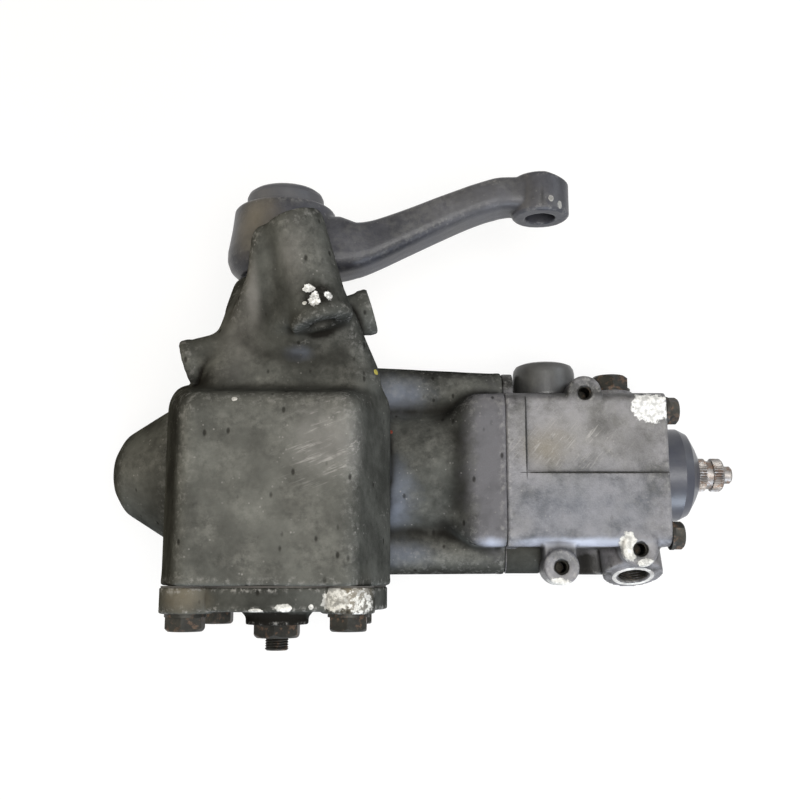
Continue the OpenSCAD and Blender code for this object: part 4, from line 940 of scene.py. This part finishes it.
class GEAR_OT_housing(bpy.types.Operator):
    """Softened cast housing with its paint, dust and worn ridges."""

    bl_idname = "gear.housing"
    bl_label = "Housing"

    def execute(self, context):
        finish, sizes = settings(context)
        mesh = softened_copy(
            "housing", sizes.housing_voxel, 3, HOUSING_BORES, sizes.face_limit, 24, housing_crisp
        )
        mark_shape(mesh, 16)
        housing = add_object("cast_housing", mesh, "housing")
        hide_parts("housing")
        dress(housing, cast_material(
            "housing_paint", finish.housing_paint, finish, (0.5, 0.6, 0.3, 0.5),
            tones=HOUSING_TONES, rubs=HOUSING_RUBS, splashes=HOUSING_SPLASHES,
        ))
        return {"FINISHED"}


class GEAR_OT_side_cover(bpy.types.Operator):
    """Softened side cover with splashes of marking paint on its edge."""

    bl_idname = "gear.side_cover"
    bl_label = "Side cover"

    def execute(self, context):
        finish, sizes = settings(context)
        mesh = softened_copy("side_cover", sizes.cover_voxel, 2, COVER_BORES, sizes.face_limit)
        mark_shape(mesh, 14)
        cover = add_object("cast_cover", mesh, "housing")
        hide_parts("side_cover")
        dress(cover, cast_material(
            "cover_paint", finish.housing_paint, finish, (0.12, 0.5, 0.6, 0.3),
            tones=COVER_TONES, splashes=COVER_SPLASHES,
        ))
        return {"FINISHED"}


class GEAR_OT_valve_block(bpy.types.Operator):
    """Softened valve block with faded paint, and the rail end beside its ear, its paint darkened as
    painted shade.
    """

    bl_idname = "gear.valve_block"
    bl_label = "Valve block"

    def execute(self, context):
        finish, sizes = settings(context)
        mesh = softened_copy("valve_housing", sizes.valve_voxel, 2, VALVE_BORES, sizes.face_limit)
        mark_shape(mesh, 14)
        block = add_object("cast_valve_block", mesh, "housing")
        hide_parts("valve_housing")
        rail = turned_piece(RAIL_PROFILE, RAIL_ORIGIN, (1, 0, 0))
        rail_end = add_surface("rail_end", rail, "housing")
        dress(block, cast_material(
            "valve_paint", finish.valve_paint, finish, (0.3, 0.5, 0.4, 0.4), skin=(0.5, 0.4, 0.08),
            rough=(0.42, 0.7), gloss=0.3, mottling=(70, 0.15, 1.9),
            tones=VALVE_TONES, rubs=VALVE_RUBS, splashes=VALVE_SPLASHES,
        ))
        # the rail end's paint is a darker copy of the housing's, as painted shade
        dress(rail_end, cast_material(
            "rail_paint", finish.housing_paint, finish, (0.1, 0.6, 0.4, 0.3),
            mottling=(38, 0.3, 0.9),
        ))
        return {"FINISHED"}


class GEAR_OT_drop_arm(bpy.types.Operator):
    """Softened forged drop arm."""

    bl_idname = "gear.drop_arm"
    bl_label = "Drop arm"

    def execute(self, context):
        finish, sizes = settings(context)
        mesh = softened_copy("drop_arm", sizes.arm_voxel, 4, (), sizes.face_limit)
        slim_arm(mesh)
        mark_shape(mesh, 16)
        arm = add_object("forged_arm", mesh, "sector")
        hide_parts("drop_arm")
        dress(arm, cast_material(
            "arm_paint", finish.arm_paint, finish, (0.22, 0.35, 0.3, 0.2), skin=(0.35, 0.2, 0.1),
            rough=(0.38, 0.6), gloss=0.25, tones=ARM_TONES, splashes=ARM_SPLASHES,
        ))
        return {"FINISHED"}


class GEAR_OT_input_shaft(bpy.types.Operator):
    """Splined input shaft with a clamp groove and a coned tip."""

    bl_idname = "gear.input_shaft"
    bl_label = "Input shaft"

    def execute(self, context):
        finish, sizes = settings(context)
        shaft = add_surface("splined_shaft", splined_shaft(sizes), "input")
        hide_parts("input_shaft")
        dress(shaft, steel_material("shaft_steel", finish.shaft_steel, finish, 0.7, 0.4))
        return {"FINISHED"}


class GEAR_OT_adjuster(bpy.types.Operator):
    """Threaded adjusting screw."""

    bl_idname = "gear.adjuster"
    bl_label = "Adjusting screw"

    def execute(self, context):
        finish = context.scene.gear_finish
        arrays = threaded_piece(
            SCREW_PROFILE, SCREW_SPAN, SCREW_DEPTH, SCREW_PITCH, SECTOR_AXIS, (0, -1, 0)
        )
        screw = add_surface("screw_thread", arrays, "housing")
        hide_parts("adjusting_screw")
        dress(screw, steel_material("screw_black", finish.bolt_steel, finish, 0.4, 0.5, 0.7))
        return {"FINISHED"}


class GEAR_OT_ports(bpy.types.Operator):
    """Bright turned face of the pressure port, and threads in both ports and the bracket holes."""

    bl_idname = "gear.ports"
    bl_label = "Ports and threads"

    def execute(self, context):
        finish, sizes = settings(context)
        inner, outer = sizes.port_r / MM, sizes.port_seat_r / MM
        foot, edge, face = -1.2, -0.7, 0.2
        ring = [
            (inner, foot), (inner + 0.2, edge), (inner + 1.1, face), (outer - 0.9, face),
            (outer, edge), (outer, foot), (inner, foot),
        ]
        seat_arrays = turned_piece(ring, PORT_PLACE, PORT_AXIS)
        seat = add_surface("port_seat", seat_arrays, "housing")
        dress(seat, steel_material("bright_seat", finish.bright_steel, finish, 0.25, 0.32))
        cups = [threaded_hole(sizes.port_r + PORT_SLACK, PORT_CUP, PORT_PLACE, PORT_AXIS)]
        for x, y in BRACKET_HOLES:
            top = (x * MM, y * MM, BRACKET_TOP * MM)
            cups.append(threaded_hole(sizes.bracket_r, BRACKET_CUP, top, (0, 0, 1), 48))
        cups.append(threaded_hole(sizes.return_r, RETURN_CUP, RETURN_PLACE, (0, -1, 0)))
        holes = add_surface("hole_threads", joined_arrays(cups), "housing")
        dress(holes, steel_material("thread_steel", finish.bolt_steel, finish, 0.15, 0.5))
        return {"FINISHED"}


class GEAR_OT_fasteners(bpy.types.Operator):
    """Finishes of bolts, nuts, plugs and caps."""

    bl_idname = "gear.fasteners"
    bl_label = "Fasteners and caps"

    def execute(self, context):
        finish = context.scene.gear_finish
        black = steel_material("bolt_black", finish.bolt_steel, finish, 0.45, 0.5, 0.7)
        for node in BOLT_NODES:
            dress(NODES[node], black)
        nut = steel_material("arm_nut_black", finish.arm_paint, finish, 0.25, 0.5, 0.4)
        for node in ("arm_nut", "lock_plate"):
            dress(NODES[node], nut)
        for node, name, tint, rough, dust in (
            ("nut_cap", "nut_cap_black", finish.arm_paint, 0.45, 0.14),
            ("dust_cap", "dust_cap_rubber", finish.cap_rubber, 0.32, 0.12),
            ("cover_gasket", "gasket_paper", finish.gasket, 0.8, 0.3),
        ):
            dress(NODES[node], moulded_material(name, tint, rough, dust, finish))
        drum = turned_piece(DRUM_PROFILE, DRUM_ORIGIN, (0, 1, 0))
        cap = add_surface("port_drum", drum, "housing")
        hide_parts("port_cap")
        dress(cap, moulded_material("port_cap_plastic", finish.plastic, 0.36, 0.2, finish))
        return {"FINISHED"}


class GEAR_OT_inner_parts(bpy.types.Operator):
    """Finishes of the parts inside the gear."""

    bl_idname = "gear.inner_parts"
    bl_label = "Inner parts"

    def execute(self, context):
        finish = context.scene.gear_finish
        ground = steel_material("ground_steel", finish.ground_steel, finish, 0.0, 0.3)
        bronze = steel_material("bronze", finish.bronze, finish, 0.0, 0.35)
        rubber = moulded_material("seal_rubber", finish.rubber, 0.55, 0.05, finish)
        rings = moulded_material("ring_plastic", finish.ring_plastic, 0.5, 0.05, finish)
        for nodes, material in (
            (GROUND_NODES, ground), (BRONZE_NODES, bronze), (RUBBER_NODES, rubber),
            (RING_NODES, rings),
        ):
            for node in nodes:
                dress(NODES[node], material)
        return {"FINISHED"}


class GEAR_OT_stage(bpy.types.Operator):
    """Pale floor, soft lamps and the camera."""

    bl_idname = "gear.stage"
    bl_label = "Stage"

    def execute(self, context):
        scene, stage = context.scene, context.scene.gear_stage
        scene.view_settings.view_transform = "Standard"
        self.make_floor(stage)
        self.make_world(scene, stage)
        for name, place, size, tint in LAMPS:
            self.make_lamp(name + "_lamp", place, size, getattr(stage, name + "_power"), tint)
        self.make_camera(scene, stage)
        return {"FINISHED"}

    def make_floor(self, stage):
        """A floor at the part's resting plane, white to the camera, that keeps a faint shadow."""
        corners = np.array([[-1, -1], [1, -1], [1, 1], [-1, 1]]) * FLOOR_SIDE
        corners = np.column_stack([corners, np.full(4, FLOOR_HEIGHT)])
        mesh = bpy.data.meshes.new("floor")
        mesh.from_pydata(corners.tolist(), [], [[0, 1, 2, 3]])
        floor = linked("floor", mesh)
        material = bpy.data.materials.new("floor_pale")
        material.use_nodes = True
        tree = Tree(material.node_tree)
        material.node_tree.nodes.remove(material.node_tree.nodes["Principled BSDF"])
        pale, shade = (
            tree.node("BsdfDiffuse", Color=rgba(stage.floor, share)).outputs[0]
            for share in (FLOOR_BOUNCE, FLOOR_SHADE)
        )
        glow = tree.node("Emission", Color=WHITE, Strength=FLOOR_GLOW).outputs[0]
        white = tree.fill(tree.node("AddShader"), (shade, glow))[0]
        mixed = tree.fill(tree.node("MixShader"), (self.seen_ray(tree), pale, white))[0]
        tree.put(material.node_tree.nodes["Material Output"].inputs["Surface"], mixed)
        mesh.materials.append(material)

    def seen_ray(self, tree):
        """One for camera, glossy and transmission rays."""
        path = tree.node("LightPath").outputs
        seen = tree.math("MAXIMUM", path["Is Camera Ray"], path["Is Glossy Ray"])
        return tree.math("MAXIMUM", seen, path["Is Transmission Ray"])

    def make_world(self, scene, stage):
        """A white world to the camera and in reflections, and a dim even light otherwise."""
        world = bpy.data.worlds.new("studio")
        world.use_nodes = True
        scene.world = world
        tree = Tree(world.node_tree)
        seen = self.seen_ray(tree)
        strength = tree.math("MULTIPLY_ADD", seen, 1.0 - stage.ambient, stage.ambient)
        back = world.node_tree.nodes["Background"]
        tree.feed(back, Color=WHITE, Strength=strength)

    def make_lamp(self, name, place, size, energy, tint):
        """A square soft lamp that points at the gear."""
        data = bpy.data.lights.new(name, "AREA")
        data.size, data.energy, data.color = size, energy, tint
        lamp = linked(name, data)
        lamp.location = place
        aim = Vector(LAMP_AIM) - Vector(place)
        lamp.rotation_euler = aim.to_track_quat("-Z", "Y").to_euler()

    def make_camera(self, scene, stage):
        """The photograph's view: nearly straight down, from just over half a metre."""
        back = Vector((0.0, -math.sin(CAMERA_TILT), math.cos(CAMERA_TILT)))
        up = Vector((0.0, math.cos(CAMERA_TILT), math.sin(CAMERA_TILT)))
        right = up.cross(back)
        data = bpy.data.cameras.new("camera")
        data.lens, data.sensor_width = stage.lens, 36.0
        data.clip_start, data.clip_end = 0.01, 20.0
        camera = linked("camera", data)
        place = Vector(CAMERA_AIM) + back * CAMERA_DISTANCE
        turn = Matrix((right, up, back)).transposed()
        camera.matrix_world = Matrix.Translation(place) @ turn.to_4x4()
        scene.camera = camera


class GEAR_PT_panel(bpy.types.Panel):
    """Lists the gear's operators and values."""

    bl_idname = "GEAR_PT_panel"
    bl_label = "Steering Gear"
    bl_space_type = "VIEW_3D"
    bl_region_type = "UI"
    bl_category = "Steering Gear"

    def draw(self, context):
        for operator in OPERATORS:
            self.layout.operator(operator.bl_idname)
        for key in GROUPS:
            group = getattr(context.scene, key)
            for name in group.bl_rna.properties.keys():
                if name not in {"rna_type", "name"}:
                    self.layout.prop(group, name)


GROUPS = {"gear_finish": GearFinish, "gear_sizes": GearSizes, "gear_stage": GearStage}
OPERATORS = (
    GEAR_OT_shaders, GEAR_OT_housing, GEAR_OT_side_cover, GEAR_OT_valve_block, GEAR_OT_drop_arm,
    GEAR_OT_input_shaft, GEAR_OT_adjuster, GEAR_OT_ports, GEAR_OT_fasteners, GEAR_OT_inner_parts,
    GEAR_OT_stage,
)
CLASSES = (*GROUPS.values(), *OPERATORS, GEAR_PT_panel)


def register():
    """Registers the classes and their values on the scene."""
    for cls in CLASSES:
        bpy.utils.register_class(cls)
    for name, group in GROUPS.items():
        setattr(bpy.types.Scene, name, PointerProperty(type=group))


def unregister():
    """Removes what register added."""
    for name in GROUPS:
        delattr(bpy.types.Scene, name)
    for cls in reversed(CLASSES):
        bpy.utils.unregister_class(cls)


def main():
    """Runs every operator in order."""
    register()
    for operator in OPERATORS:
        group, name = operator.bl_idname.split(".")
        getattr(getattr(bpy.ops, group), name)()


if __name__ == "__main__":
    main()
